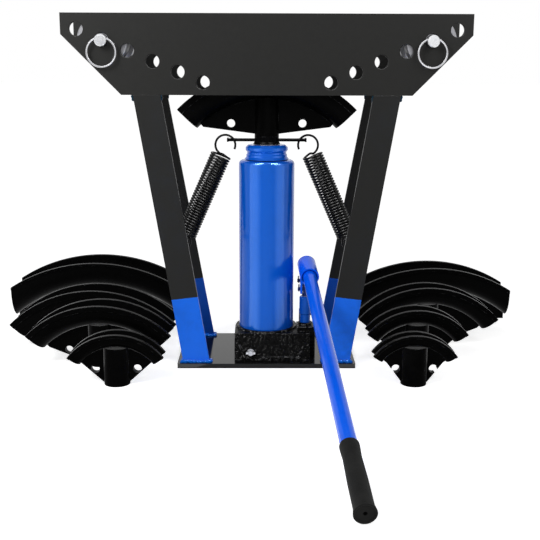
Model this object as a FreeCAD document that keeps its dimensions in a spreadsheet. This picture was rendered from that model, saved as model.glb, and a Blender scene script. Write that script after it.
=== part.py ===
# Hydraulic pipe bender: an A-shaped floor frame, a bottle jack, bending dies, two rollers and return springs.
# Millimetres. X runs to the right, Y away from the person who pumps, Z up; the origin is the middle of the
# underside of the base plate.
import FreeCAD, Part
import Sketcher
import math
import os
import re

Vector = FreeCAD.Vector

# The driving sizes: alias, value, what it measures.
SIZES = [
    # frame
    ("frame_height", 659.0, "floor to the top edge of the beam plates"),
    ("beam_length", 750.0, "top edge of a beam plate, end to end"),
    ("beam_bottom", 536.0, "bottom edge of a beam plate, end to end"),
    ("beam_height", 146.0, "height of a beam plate"),
    ("beam_end", 38.0, "upright edge at each end of a beam plate"),
    ("beam_thick", 8.0, "thickness of a beam plate"),
    ("beam_gap", 116.0, "clear space between the two beam plates"),
    ("hole_x", 346.5, "outermost pin hole from the middle"),
    ("hole_drop", 28.5, "outermost pin hole below the top edge"),
    ("hole_pitch", 49.5, "distance from one pin hole to the next"),
    ("hole_slope", 22.5, "fall of the row of pin holes towards the middle, degrees"),
    ("hole_size", 25.0, "diameter of a pin hole"),
    ("hole_edge", 0.8, "chamfer round a pin hole"),
    ("base_length", 341.5, "base plate, left to right"),
    ("base_depth", 210.0, "base plate, front to back"),
    ("base_thick", 9.0, "base plate thickness"),
    ("base_corner", 3.0, "radius of the base plate's corners"),
    ("leg_width", 50.8, "width of a leg bar, measured level"),
    ("leg_thick", 8.0, "thickness of a leg bar"),
    ("leg_top_x", 247.0, "outer edge of a leg at the beam"),
    ("leg_foot_x", 160.0, "outer edge of a leg at the base"),
    ("leg_foot_y", 94.0, "outer face of a leg at the base"),
    ("bead_size", 6.0, "weld bead round a leg's foot"),
    ("bead_drop", 8.0, "length of the weld bead beside a leg's top"),
    ("bead_step", 4.5, "width of the weld bead beside a leg's top"),
    # rollers and their pins
    ("pin_size", 22.0, "diameter of a roller pin"),
    ("pin_front", 17.0, "pin standing out of the front plate"),
    ("pin_back", 11.0, "pin standing out of the rear plate"),
    ("pin_edge", 1.5, "chamfer at a pin's ends"),
    ("seat_gap", 0.3, "gap left under a piece that rests in a hole"),
    ("ring_hole", 6.8, "cross hole for the pull ring"),
    ("ring_rise", 3.9, "cross hole above the pin's axis"),
    ("ring_place", 8.0, "cross hole behind the pin's front end"),
    ("ring_mean", 26.1, "radius of the pull ring's wire line"),
    ("ring_wire", 3.6, "wire of the pull ring"),
    ("ring_lift", 5.2, "top of the ring's wire line above the pin's axis"),
    ("roller_size", 94.0, "diameter of a roller's flanges"),
    ("roller_width", 110.0, "length of a roller"),
    ("roller_waist", 52.0, "diameter in the bottom of a roller's groove"),
    ("roller_groove", 31.0, "radius of a roller's groove"),
    ("roller_edge", 2.0, "chamfer round a roller's flanges"),
    ("running_gap", 0.06, "radial clearance of a running fit"),
    # jack
    ("jack_left", 62.0, "jack base, left side from the axis, and the radius of its round back"),
    ("jack_right", 84.0, "jack base, right side from the axis"),
    ("jack_front", 82.0, "foot of the jack base's front face before the axis"),
    ("jack_slope", 19.5, "how far the front face leans back over its height"),
    ("jack_height", 48.0, "jack base block above the base plate"),
    ("jack_corner", 8.0, "radius of the jack base's front corners"),
    ("rim_size", 121.0, "diameter of the rim round the reservoir"),
    ("rim_top", 59.5, "top of the rim above the floor"),
    ("boss_left", 60.0, "pump boss, left side"),
    ("boss_right", 96.0, "pump boss, right side"),
    ("boss_front", 48.0, "pump boss, front face before the axis"),
    ("boss_back", 6.0, "pump boss, back face before the axis"),
    ("boss_top", 66.0, "top of the pump boss above the floor"),
    ("boss_corner", 7.0, "radius of the pump boss's corners"),
    ("collar_wide", 27.0, "diameter of the raised collar round the pump cylinder's foot"),
    ("collar_rise", 3.5, "height of that collar above the pump boss"),
    ("step_back", 36.0, "low step that carries the link, its back face behind the axis"),
    ("step_top", 48.0, "top of the low step above the floor"),
    ("ridge_proud", 2.4, "raised line on the jack base's front"),
    ("ridge_wide", 2.6, "width of the raised line"),
    ("ridge_inset", 7.5, "raised line from the jack base's sides"),
    ("ridge_lean", 12.5, "how far the raised line leans in"),
    ("ridge_high", 30.0, "upper ends of the raised line above the base plate"),
    ("ridge_low", 3.3, "foot of the raised line above the base plate"),
    ("reservoir_size", 108.0, "outside diameter of the reservoir"),
    ("reservoir_wall", 3.0, "wall of the reservoir"),
    ("reservoir_seat", 50.0, "floor of the reservoir's seat"),
    ("reservoir_top", 389.0, "shoulder of the reservoir"),
    ("reservoir_round", 8.0, "outer radius at the shoulder"),
    ("gasket_thick", 1.6, "thickness of a reservoir gasket"),
    ("cylinder_size", 56.0, "outside diameter of the pressure cylinder"),
    ("cylinder_bore", 44.0, "bore of the pressure cylinder"),
    ("cylinder_seat", 44.0, "floor of the pressure cylinder's seat"),
    ("cylinder_top", 396.0, "top of the pressure cylinder"),
    ("nut_size", 82.0, "diameter of the tank nut"),
    ("nut_top", 418.0, "top of the tank nut"),
    ("nut_skirt", 372.0, "lower end of the tank nut's thread"),
    ("nut_neck", 74.0, "diameter of the tank nut's thread"),
    ("nut_groove", 76.0, "diameter in the tank nut's groove"),
    ("ram_size", 38.0, "diameter of the ram"),
    ("ram_spigot", 32.0, "diameter of the ram's head"),
    ("ram_foot", 58.0, "lower end of the ram"),
    ("ram_shoulder", 422.0, "shoulder that carries the spring collar"),
    ("ram_top", 474.0, "top of the ram's head"),
    ("piston_height", 26.0, "height of the ram's piston"),
    ("seal_height", 8.0, "height of a ram seal"),
    ("seal_depth", 4.0, "depth of a ram seal's groove"),
    ("filler_height", 330.0, "oil filler plug above the floor"),
    ("filler_size", 10.0, "oil filler hole"),
    ("filler_head", 17.0, "head of the oil filler plug"),
    ("valve_x", -30.5, "release valve from the middle"),
    ("valve_z", 25.0, "release valve above the floor"),
    ("valve_size", 10.0, "release valve's thread"),
    ("valve_depth", 28.0, "release valve's reach into the jack base"),
    ("valve_face", 81.5, "seat of the release valve before the axis"),
    ("valve_boss", 21.0, "diameter of the round boss under the release valve"),
    ("valve_flange", 14.0, "flange of the release valve"),
    ("valve_head", 10.4, "round head of the release valve"),
    ("valve_wing", 17.6, "cross bar in the release valve's head, end to end"),
    ("duct_size", 6.0, "oil duct in the jack base"),
    ("duct_step", 1.0, "how much narrower the upright ducts are, and how far the ducts run past each other"),
    ("duct_y", -18.0, "cross duct in front of the axis"),
    ("duct_z", 25.0, "cross duct above the floor"),
    ("ball_size", 8.0, "check valve ball"),
    ("bolt_size", 8.0, "jack bolt's thread"),
    ("bolt_x", 47.0, "front jack bolt from the middle, sideways"),
    ("bolt_y", 46.0, "front jack bolt before the middle"),
    ("bolt_back_x", 35.0, "rear jack bolt from the middle, sideways"),
    ("bolt_back_y", 40.0, "rear jack bolt behind the middle"),
    ("bolt_length", 24.0, "jack bolt's length"),
    ("bolt_head", 16.0, "jack bolt's countersunk head"),
    # pump and handle
    ("pump_x", 76.8, "pump from the middle, to the right"),
    ("pump_y", -20.0, "pump in front of the axis"),
    ("pump_thread", 20.4, "lower part of the pump cylinder"),
    ("pump_body", 23.0, "upper part of the pump cylinder"),
    ("pump_seat", 36.0, "floor of the pump cylinder's bore"),
    ("pump_step", 87.0, "step of the pump cylinder"),
    ("pump_top", 122.0, "top of the pump cylinder"),
    ("plunger_size", 12.0, "diameter of the pump plunger"),
    ("plunger_foot", 42.0, "lower end of the plunger"),
    ("plunger_seal_height", 5.0, "height of the plunger's seal"),
    ("plunger_seal_depth", 1.5, "depth of the plunger's seal groove"),
    ("tang_thick", 10.0, "thickness of the plunger's tang and of the link"),
    ("pivot_size", 7.0, "diameter of the pivot pins"),
    ("plunger_pin_z", 136.0, "pin in the plunger's tang"),
    ("fulcrum_y", 8.0, "fulcrum pin behind the axis"),
    ("fulcrum_z", 147.0, "fulcrum pin above the floor"),
    ("link_foot_y", 22.0, "lower pin of the link behind the axis"),
    ("link_foot_z", 76.0, "lower pin of the link above the floor"),
    ("link_width", 15.0, "width of the link"),
    ("ear_thick", 4.0, "thickness of the ears that hold the pins"),
    ("ear_gap", 1.5, "gap between an ear and the link"),
    ("ear_round", 9.5, "radius of an ear round its pin"),
    ("slot_play", 2.6, "play of the plunger pin along its slot"),
    ("slot_gap", 0.9, "play of the plunger pin across its slot"),
    ("pin_reach", 4.5, "pivot pin standing out of an ear"),
    ("clip_wire", 2.2, "wire of a pin clip"),
    ("clip_length", 10.0, "length of a pin clip"),
    ("clip_eye", 3.0, "radius of a pin clip's eye"),
    ("handle_lift", 34.8, "handle's rear end above the fulcrum pin"),
    ("handle_side", 2.8, "handle's rear end to the right of the pump"),
    ("handle_fall", 12.6, "fall of the handle towards its grip, degrees"),
    ("handle_swing", 3.2, "turn of the handle to the right, degrees"),
    ("handle_reach", 758.6, "handle from its rear end to the grip's end"),
    ("handle_size", 26.0, "diameter of the handle's tube"),
    ("handle_wall", 2.0, "wall of the handle's tube"),
    ("socket_size", 37.0, "outside diameter of the handle socket"),
    ("socket_mouth", 31.0, "wider bore at the mouth of the handle socket"),
    ("mouth_depth", 12.0, "depth of that wider bore"),
    ("socket_length", 65.0, "length of the handle socket"),
    ("socket_end", 8.0, "closed end of the handle socket"),
    ("fit_gap", 0.1, "radial clearance of a pushed-in tube"),
    ("grip_length", 158.0, "length of the grip"),
    ("grip_start", 29.6, "diameter of the grip at its inner end"),
    ("grip_end", 33.0, "diameter of the grip at its outer end"),
    ("grip_cap", 7.0, "thickness of the grip's closed end"),
    ("grip_vent", 6.0, "hole in the grip's closed end"),
    # spring gear
    ("collar_size", 47.0, "diameter of the spring collar"),
    ("collar_flare", 51.5, "diameter of the spring collar's lower edge"),
    ("collar_height", 12.0, "spring collar above the ram's shoulder"),
    ("collar_skirt", 3.0, "spring collar below the ram's shoulder"),
    ("arm_length", 76.5, "end of a spring arm from the middle"),
    ("arm_z", 427.0, "middle of a spring arm above the floor"),
    ("arm_thick", 5.0, "thickness of a spring arm"),
    ("arm_width", 20.0, "width of a spring arm"),
    ("arm_lip", 7.0, "height of the lip at a spring arm's end"),
    ("arm_hole", 10.0, "hole for the spring's hook"),
    ("hook_x", 79.8, "middle of the upper hook from the middle"),
    ("hook_z", 417.0, "middle of the upper hook above the floor"),
    ("hook_radius", 19.3, "radius of the upper hook's wire line"),
    ("eye_radius", 14.0, "radius of the lower hook's wire line"),
    ("spring_slope", 23.9, "lean of a spring from upright, degrees"),
    ("spring_wire", 4.4, "wire of a spring"),
    ("spring_mean", 36.6, "mean diameter of a spring's coil"),
    ("spring_pitch", 5.4, "pitch of a spring's coil"),
    ("spring_turns", 31.0, "whole turns in a spring's coil"),
    ("rod_size", 10.0, "spring anchor rod"),
    # bending dies, shared sizes
    ("die_wall", 8.0, "wall under a die's groove"),
    ("die_side", 6.0, "wall beside a die's groove"),
    ("lip_proud", 2.2, "lip of a die standing out of its side"),
    ("lip_height", 12.0, "height of a die's lip"),
    ("web_thick", 14.0, "thickness of a die's web"),
    ("socket_boss", 47.0, "diameter of a die's socket boss"),
    ("socket_depth", 41.0, "depth of a die's socket"),
    ("die_hole", 15.5, "lightening hole in a die's web"),
]
VALUES = {alias: number for alias, number, note in SIZES}

# The dies: pipe outside diameter, lip radius, half angle, groove's straight wall, height from the crown to
# the boss's foot, hole from the middle, hole below the crown, and for the two widest the half length.
DIES = {
    "bending_die": (60.3, 239.0, 45.0, 15.0, 121.5, 68.5, 97.0, None),
    "loose_die_3_in": (88.9, 334.0, 42.0, 6.0, 152.0, 82.0, 116.0, 181.0),
    "loose_die_2_and_half_in": (73.0, 316.0, 41.0, 8.0, 140.0, 62.0, 108.0, 168.0),
    "loose_die_2_in": (60.3, 239.0, 45.0, 15.0, 121.5, 68.5, 97.0, None),
    "loose_die_1_and_half_in": (48.3, 192.0, 46.0, 12.0, 122.0, 60.0, 92.0, None),
    "loose_die_1_and_quarter_in": (42.2, 190.0, 49.0, 11.0, 126.0, 61.0, 96.0, None),
    "loose_die_1_in": (33.7, 123.0, 52.0, 8.0, 112.0, 43.0, 78.0, None),
    "loose_die_3_quarter_in": (26.9, 110.0, 52.0, 7.0, 96.0, 38.0, 66.0, None),
    "loose_die_half_in": (21.3, 94.0, 54.0, 6.0, 94.0, 34.0, 64.0, None),
}
# Where the loose dies stand on the floor: X, Y.
STANDS = {
    "loose_die_3_in": (-368.0, 195.0),
    "loose_die_2_in": (-352.0, 55.0),
    "loose_die_1_and_half_in": (-320.0, -75.0),
    "loose_die_3_quarter_in": (-272.0, -190.0),
    "loose_die_2_and_half_in": (362.0, 195.0),
    "loose_die_1_and_quarter_in": (332.0, 55.0),
    "loose_die_1_in": (290.0, -75.0),
    "loose_die_half_in": (268.0, -190.0),
}

doc = FreeCAD.newDocument("PipeBender")
sheet = doc.addObject("Spreadsheet::Sheet", "Sizes")
for row, (alias, number, note) in enumerate(SIZES, start=1):
    sheet.set(f"A{row}", note)
    sheet.set(f"B{row}", str(number))
    sheet.setAlias(f"B{row}", alias)
doc.recompute()

pieces = {}


def cells(expression):
    """The expression with each alias written as a cell of the sheet."""
    return re.sub(
        r"[a-z][a-z_0-9]*", lambda word: "Sizes." + word[0] if word[0] in VALUES else word[0], str(expression)
    )


def number(expression):
    """What the expression comes to now."""
    found = sheet.evalExpression(cells(expression))
    return float(getattr(found, "Value", found))


def bind(thing, name, expression):
    thing.setExpression(name, cells(expression))


def keep(name, thing):
    """Name a finished piece, which gets its own file."""
    thing.Label = name
    pieces[name] = thing
    return thing


def body(name):
    return doc.addObject("PartDesign::Body", name + "_body")


def place(thing, x="0", y="0", z="0", rotation=None):
    if rotation is not None:
        thing.Placement = FreeCAD.Placement(Vector(), rotation)
    for axis, expression in zip("xyz", (x, y, z)):
        bind(thing, "Placement.Base." + axis, expression)


# Sketches


def sketch_on(owner, plane, level="0"):
    """A sketch on one of the body's planes, moved to a level along X, Y or Z."""
    sketch = owner.newObject("Sketcher::SketchObject", "Sketch")
    base = [face for face in owner.Origin.OriginFeatures if face.Role == plane + "_Plane"]
    sketch.AttachmentSupport = [(base[0], "")]
    sketch.MapMode = "FlatFace"
    sign = "-1 * " if plane == "XZ" else ""
    bind(sketch, "AttachmentOffset.Base.z", f"{sign}({level})")
    return sketch


def pin_down(sketch, index, vertex, across, up):
    """Tie a point of the sketch to two expressions."""
    for kind, expression, axis in (("DistanceX", across, -2), ("DistanceY", up, -1)):
        if str(expression) == "0":
            sketch.addConstraint(Sketcher.Constraint("PointOnObject", index, vertex, axis))
            continue
        rule = Sketcher.Constraint(kind, -1, 1, index, vertex, number(expression))
        name = f"{kind}_{index}_{vertex}"
        sketch.renameConstraint(sketch.addConstraint(rule), name)
        bind(sketch, "Constraints." + name, expression)


def loop(*corners):
    """A closed outline. A corner is (across, up), or (across, up, centre across, centre up, turn) when an
    arc about that centre leaves it, with a turn of 1 for anticlockwise and -1 for clockwise."""

    def draw(sketch):
        first = sketch.GeometryCount
        spots = [Vector(number(corner[0]), number(corner[1]), 0) for corner in corners]
        ends = []
        for index, corner in enumerate(corners):
            here, there = spots[index], spots[(index + 1) % len(corners)]
            if len(corner) == 2:
                sketch.addGeometry(Part.LineSegment(here, there), False)
                ends.append((1, 2))
                continue
            centre = Vector(number(corner[2]), number(corner[3]), 0)
            begin, stop = (here, there) if corner[4] > 0 else (there, here)
            circle = Part.Circle(centre, Vector(0, 0, 1), here.distanceToPoint(centre))
            angles = [math.atan2(spot.y - centre.y, spot.x - centre.x) for spot in (begin, stop)]
            if angles[1] < angles[0]:
                angles[1] += 2 * math.pi
            sketch.addGeometry(Part.ArcOfCircle(circle, angles[0], angles[1]), False)
            ends.append((1, 2) if corner[4] > 0 else (2, 1))
        for index, corner in enumerate(corners):
            after = (index + 1) % len(corners)
            sketch.addConstraint(
                Sketcher.Constraint("Coincident", first + index, ends[index][1], first + after, ends[after][0])
            )
        for index, corner in enumerate(corners):
            pin_down(sketch, first + index, ends[index][0], corner[0], corner[1])
        for index, corner in enumerate(corners):
            if len(corner) == 5:
                level = abs(spots[index].y - spots[(index + 1) % len(corners)].y) < 1e-7
                kind, expression = ("DistanceY", corner[3]) if level else ("DistanceX", corner[2])
                if str(expression) == "0":
                    axis = -1 if level else -2
                    sketch.addConstraint(Sketcher.Constraint("PointOnObject", first + index, 3, axis))
                    continue
                rule = Sketcher.Constraint(kind, -1, 1, first + index, 3, number(expression))
                name = f"Centre_{first + index}"
                sketch.renameConstraint(sketch.addConstraint(rule), name)
                bind(sketch, "Constraints." + name, expression)

    return draw


def oblong(left, right, low, high):
    return loop((left, low), (right, low), (right, high), (left, high))


def disc(across, up, diameter):
    def draw(sketch):
        centre = Vector(number(across), number(up), 0)
        radius = number(f"({diameter}) / 2")
        index = sketch.addGeometry(Part.Circle(centre, Vector(0, 0, 1), radius), False)
        pin_down(sketch, index, 3, across, up)
        name = f"Radius_{index}"
        sketch.renameConstraint(sketch.addConstraint(Sketcher.Constraint("Radius", index, radius)), name)
        bind(sketch, "Constraints." + name, f"({diameter}) / 2")

    return draw


def slot(across_1, up_1, across_2, up_2, radius):
    """An outline with two round ends."""
    run, rise = f"(({across_2}) - ({across_1}))", f"(({up_2}) - ({up_1}))"
    span = f"sqrt({run} ^ 2 + {rise} ^ 2)"
    side, lift = f"{rise} / {span} * ({radius})", f"{run} / {span} * ({radius})"
    return loop(
        (f"{across_1} + {side}", f"{up_1} - {lift}"),
        (f"{across_2} + {side}", f"{up_2} - {lift}", across_2, up_2, 1),
        (f"{across_2} - {side}", f"{up_2} + {lift}"),
        (f"{across_1} - {side}", f"{up_1} + {lift}", across_1, up_1, 1),
    )


def hexagon(across, up, flats):
    corners = []
    for step in range(6):
        turn = 60 * step + 30
        corners.append(
            (f"{across} + ({flats}) / 2 / cos(30) * cos({turn})", f"{up} + ({flats}) / 2 / cos(30) * sin({turn})")
        )
    return loop(*corners)


# Features


def add(owner, plane, start, end, *outlines):
    """Material between two levels along the axis that the plane stands square to."""
    sketch = sketch_on(owner, plane, end if plane == "XZ" else start)
    for outline in outlines:
        outline(sketch)
    pad = owner.newObject("PartDesign::Pad", "Pad")
    pad.Profile = sketch
    bind(pad, "Length", f"({end}) - ({start})")
    doc.recompute()
    return pad


def cut(owner, plane, start, end, *outlines):
    """A pocket between two levels. It has to take something away."""
    before = owner.Shape.Volume
    sketch = sketch_on(owner, plane, start if plane == "XZ" else end)
    for outline in outlines:
        outline(sketch)
    pocket = owner.newObject("PartDesign::Pocket", "Pocket")
    pocket.Profile = sketch
    bind(pocket, "Length", f"({end}) - ({start})")
    doc.recompute()
    if not owner.Shape.Volume < before:
        raise ValueError(f"a pocket of {owner.Name} cuts nothing")
    return pocket


def spin(owner, plane, axis, outline, degrees="360", kind="PartDesign::Revolution"):
    """Turn an outline about the sketch's own H or V axis."""
    sketch = sketch_on(owner, plane)
    outline(sketch)
    turned = owner.newObject(kind, "Spin")
    turned.Profile = sketch
    turned.ReferenceAxis = (sketch, [axis + "_Axis"])
    turned.Midplane = True
    bind(turned, "Angle", degrees)
    doc.recompute()
    return turned


def soften(owner, kind, size, wanted):
    """Round or chamfer the edges of a body that the test picks."""
    last = owner.Tip
    names = [f"Edge{n}" for n, edge in enumerate(last.Shape.Edges, start=1) if wanted(edge)]
    if not names:
        raise ValueError(f"{owner.Name} has no such edge")
    feature = owner.newObject("PartDesign::" + kind, kind)
    feature.Base = (last, names)
    bind(feature, "Radius" if kind == "Fillet" else "Size", size)
    owner.Tip = feature
    doc.recompute()
    return feature


def upright(edge):
    """A straight edge along Z."""
    ends = edge.Vertexes
    return len(ends) == 2 and (ends[0].Point - ends[1].Point).cross(Vector(0, 0, 1)).Length < 1e-6


def ring_edge(axis, level, diameter=None):
    """A test for whole circles at one level along an axis, of one diameter if it is given."""

    def wanted(edge):
        curve = edge.Curve
        if not isinstance(curve, Part.Circle) or abs(getattr(curve.Center, axis) - level) > 1e-4:
            return False
        return diameter is None or abs(2 * curve.Radius - diameter) < 1e-4

    return wanted


def tube_between(owner, plane, centre, outside, inside, start, end):
    add(owner, plane, start, end, disc(*centre, outside), disc(*centre, inside))


# Frame

BEAM_FOOT = "(frame_height - beam_height)"
BEAM_FACE = "(beam_gap / 2 + beam_thick)"
LEG_SLOPE = f"((leg_top_x - leg_foot_x) / ({BEAM_FOOT} - base_thick))"
LEG_LEAN = f"((leg_foot_y - {BEAM_FACE}) / ({BEAM_FOOT} - base_thick))"
BOLT_SPOTS = (("-1 * bolt_x", "-1 * bolt_y"), ("bolt_x", "-1 * bolt_y"),
              ("-1 * bolt_back_x", "bolt_back_y"), ("bolt_back_x", "bolt_back_y"))


def hole_spot(step):
    """X and Z of a pin hole on the right-hand side, counted inwards."""
    return (
        f"(hole_x - {step} * hole_pitch * cos(hole_slope))",
        f"(frame_height - hole_drop - {step} * hole_pitch * sin(hole_slope))",
    )


def make_base_plate():
    plate = body("base_plate")
    add(plate, "XY", "0", "base_thick",
        oblong("-1 * base_length / 2", "base_length / 2", "-1 * base_depth / 2", "base_depth / 2"))
    soften(plate, "Fillet", "base_corner", upright)
    cut(plate, "XY", "0", "base_thick", *[disc(*spot, "bolt_size + 4 * fit_gap") for spot in BOLT_SPOTS])
    soften(plate, "Chamfer", "(bolt_head - bolt_size) / 2",
           ring_edge("z", 0.0, number("bolt_size + 4 * fit_gap")))
    keep("base_plate", plate)


def make_beam_plate(name, start, end, front):
    plate = body(name)
    half, foot = "beam_length / 2", "beam_bottom / 2"
    add(plate, "XZ", start, end, loop(
        (f"-1 * {half}", "frame_height"), (f"-1 * {half}", "frame_height - beam_end"),
        (f"-1 * {foot}", BEAM_FOOT), (foot, BEAM_FOOT),
        (half, "frame_height - beam_end"), (half, "frame_height")))
    holes = []
    for step in range(6):
        x, z = hole_spot(step)
        holes += [disc(x, z, "hole_size"), disc(f"-1 * {x}", z, "hole_size")]
    cut(plate, "XZ", start, end, *holes)
    soften(plate, "Chamfer", "hole_edge", ring_edge("y", number(front), number("hole_size")))
    keep(name, plate)


def make_leg(name, side, face):
    """A flat bar that leans inwards and outwards at once."""
    leg = body(name)
    sections = []
    for level, x, y in (("base_thick", "leg_foot_x", "leg_foot_y"), (BEAM_FOOT, "leg_top_x", BEAM_FACE)):
        sketch = sketch_on(leg, "XY", level)
        oblong(f"{side} * {x}", f"{side} * ({x} - leg_width)", f"{face} * {y}", f"{face} * ({y} - leg_thick)")(sketch)
        sections.append(sketch)
    doc.recompute()
    loft = leg.newObject("PartDesign::AdditiveLoft", "Loft")
    loft.Profile = sections[0]
    loft.Sections = [sections[1]]
    loft.Ruled = True
    doc.recompute()
    return keep(name, leg)


def make_weld_beads(legs):
    beads = []
    for (side, face), leg in legs.items():
        foot = body("foot_bead")
        sections = []
        for level, grow, rise in (("base_thick", "bead_size", "0"), ("base_thick + bead_size", "1", "bead_size")):
            sketch = sketch_on(foot, "XY", level)
            shift_x, shift_y = f"{rise} * {LEG_SLOPE}", f"{rise} * {LEG_LEAN}"
            oblong(f"{side} * (leg_foot_x + {shift_x} + {grow})",
                   f"{side} * (leg_foot_x + {shift_x} - leg_width - {grow})",
                   f"{face} * (leg_foot_y - {shift_y} + {grow})",
                   f"{face} * (leg_foot_y - {shift_y} - leg_thick - {grow})")(sketch)
            sections.append(sketch)
        doc.recompute()
        loft = foot.newObject("PartDesign::AdditiveLoft", "Loft")
        loft.Profile = sections[0]
        loft.Sections = [sections[1]]
        loft.Ruled = True
        doc.recompute()
        around = doc.addObject("Part::Cut", "foot_bead_cut")
        around.Base = foot
        around.Tool = leg
        beads.append(around)
        near, far = sorted((f"{face} * {BEAM_FACE}", f"{face} * beam_gap / 2"), key=number)
        for edge, way in (("leg_top_x", 1), ("leg_top_x - leg_width", -1)):
            corner = body("top_bead")
            add(corner, "XZ", near, far, loop(
                (f"{side} * ({edge})", BEAM_FOOT), (f"{side} * ({edge} + {way} * bead_step)", BEAM_FOOT),
                (f"{side} * ({edge} - bead_drop * {LEG_SLOPE})", f"{BEAM_FOOT} - bead_drop")))
            beads.append(corner)
    group = doc.addObject("Part::Compound", "weld_bead_group")
    group.Links = beads
    keep("weld_beads", group)


def make_frame():
    make_base_plate()
    make_beam_plate("front_beam_plate", f"-1 * {BEAM_FACE}", "-1 * beam_gap / 2", f"-1 * {BEAM_FACE}")
    make_beam_plate("rear_beam_plate", "beam_gap / 2", BEAM_FACE, BEAM_FACE)
    legs = {}
    for face, where in ((-1, "front"), (1, "rear")):
        for side, hand in ((-1, "left"), (1, "right")):
            legs[side, face] = make_leg(f"leg_{where}_{hand}", side, face)
    make_weld_beads(legs)


# Rollers, pins and pull rings

PIN_X, HOLE_Z = hole_spot(1)
PIN_Z = f"({HOLE_Z} - (hole_size - pin_size) / 2 + seat_gap)"
PIN_FRONT = f"(-1 * {BEAM_FACE} - pin_front)"
RING_Y = f"({PIN_FRONT} + ring_place)"


def make_roller(name, side):
    roller = body(name)
    bore = "(pin_size / 2 + running_gap)"
    centre = "(roller_waist / 2 + roller_groove)"
    mouth = f"sqrt(roller_groove ^ 2 - ({centre} - roller_size / 2) ^ 2)"
    spin(roller, "YZ", "H", loop(
        ("-1 * roller_width / 2", bore), ("roller_width / 2", bore), ("roller_width / 2", "roller_size / 2"),
        (mouth, "roller_size / 2", "0", centre, -1), (f"-1 * {mouth}", "roller_size / 2"),
        ("-1 * roller_width / 2", "roller_size / 2")))
    half = number("roller_width / 2")
    rims = [ring_edge("y", level, number("roller_size")) for level in (-half, half)]
    soften(roller, "Chamfer", "roller_edge", lambda edge: any(test(edge) for test in rims))
    place(roller, f"{side} * {PIN_X}", "0", PIN_Z)
    keep(name, roller)


def make_pin(name, side):
    pin = body(name)
    back = f"({BEAM_FACE} + pin_back)"
    radius = "pin_size / 2"
    spin(pin, "YZ", "H", loop(
        (PIN_FRONT, "0"), (back, "0"), (back, f"{radius} - pin_edge"), (f"{back} - pin_edge", radius),
        (f"{PIN_FRONT} + pin_edge", radius), (PIN_FRONT, f"{radius} - pin_edge")))
    cut(pin, "YZ", "-1 * pin_size", "pin_size", disc(RING_Y, "ring_rise", "ring_hole"))
    place(pin, f"{side} * {PIN_X}", "0", PIN_Z)
    keep(name, pin)


def make_ring(name, side):
    ring = doc.addObject("Part::Torus", name + "_torus")
    bind(ring, "Radius1", "ring_mean")
    bind(ring, "Radius2", "ring_wire / 2")
    place(ring, f"{side} * {PIN_X}", RING_Y, f"{PIN_Z} + ring_lift - ring_mean",
          FreeCAD.Rotation(Vector(1, 0, 0), 90))
    keep(name, ring)


# Bottle jack

JACK_TOP = "(base_thick + jack_height)"
VALVE_FACE = "(-1 * valve_face)"
CHAMBER_FLOOR = "(cylinder_seat - duct_size)"


def before_slope(proud):
    """An outline, seen from the side, of all that lies before the leaning front face or a face parallel to it."""
    lean = "(jack_slope / jack_height)"
    shift = f"({proud}) * sqrt(1 + {lean} ^ 2)"
    low, high = "(base_thick - 5)", "(boss_top + 4)"
    return loop(
        (f"-1 * jack_front - {shift} + {lean} * ({low} - base_thick)", low), ("-1 * jack_front - 20", low),
        ("-1 * jack_front - 20", high), (f"-1 * jack_front - {shift} + {lean} * ({high} - base_thick)", high))


def make_jack_base():
    jack = body("jack_base")
    add(jack, "XY", "base_thick", JACK_TOP, loop(
        ("-1 * jack_left", "-1 * jack_front"), ("jack_right", "-1 * jack_front"), ("jack_right", "0"),
        ("jack_left", "0", "0", "0", 1), ("-1 * jack_left", "0")))
    front = -number("jack_front")
    soften(jack, "Fillet", "jack_corner",
           lambda edge: upright(edge) and abs(edge.Vertexes[0].Point.y - front) < 1e-6)
    cut(jack, "YZ", "-1 * boss_right - 4", "boss_right + 4", before_slope("0"))
    add_boss(jack)
    add(jack, "XY", "base_thick", "rim_top", disc("0", "0", "rim_size"))
    add_ridges(jack)
    cut(jack, "XY", "reservoir_seat", "rim_top", disc("0", "0", "reservoir_size + 4 * fit_gap"))
    cut(jack, "XY", "cylinder_seat", "reservoir_seat", disc("0", "0", "cylinder_size + 2 * fit_gap"))
    cut(jack, "XY", "pump_seat", "boss_top + collar_rise", disc("pump_x", "pump_y", "pump_thread + 2 * fit_gap"))
    cut_ducts(jack)
    cut(jack, "YZ", "boss_left", "boss_right", disc("link_foot_y", "link_foot_z", "pivot_size + fit_gap"))
    keep("jack_base", jack)


def add_boss(jack):
    """The boss that holds the pump, its collar, and behind it a low step with two ears for the link."""
    add(jack, "XY", "base_thick", "boss_top",
        oblong("boss_left", "boss_right", "-1 * boss_front", "-1 * boss_back"))
    right = number("boss_right")
    soften(jack, "Fillet", "boss_corner",
           lambda edge: upright(edge) and abs(edge.Vertexes[0].Point.x - right) < 1e-6)
    add(jack, "XY", "boss_top", "boss_top + collar_rise", disc("pump_x", "pump_y", "collar_wide"))
    add(jack, "XY", "base_thick", "step_top",
        oblong("jack_left / 2", "boss_right - boss_corner", "-1 * boss_back - 2 * boss_corner", "step_back"))
    for side in (-1, 1):
        middle = f"(pump_x + {side} * (tang_thick / 2 + ear_gap + ear_thick / 2))"
        add(jack, "YZ", f"{middle} - ear_thick / 2", f"{middle} + ear_thick / 2", loop(
            ("link_foot_y - ear_round", "step_top - 4"), ("link_foot_y + ear_round", "step_top - 4"),
            ("link_foot_y + ear_round", "link_foot_z", "link_foot_y", "link_foot_z", 1),
            ("link_foot_y - ear_round", "link_foot_z")))


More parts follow.
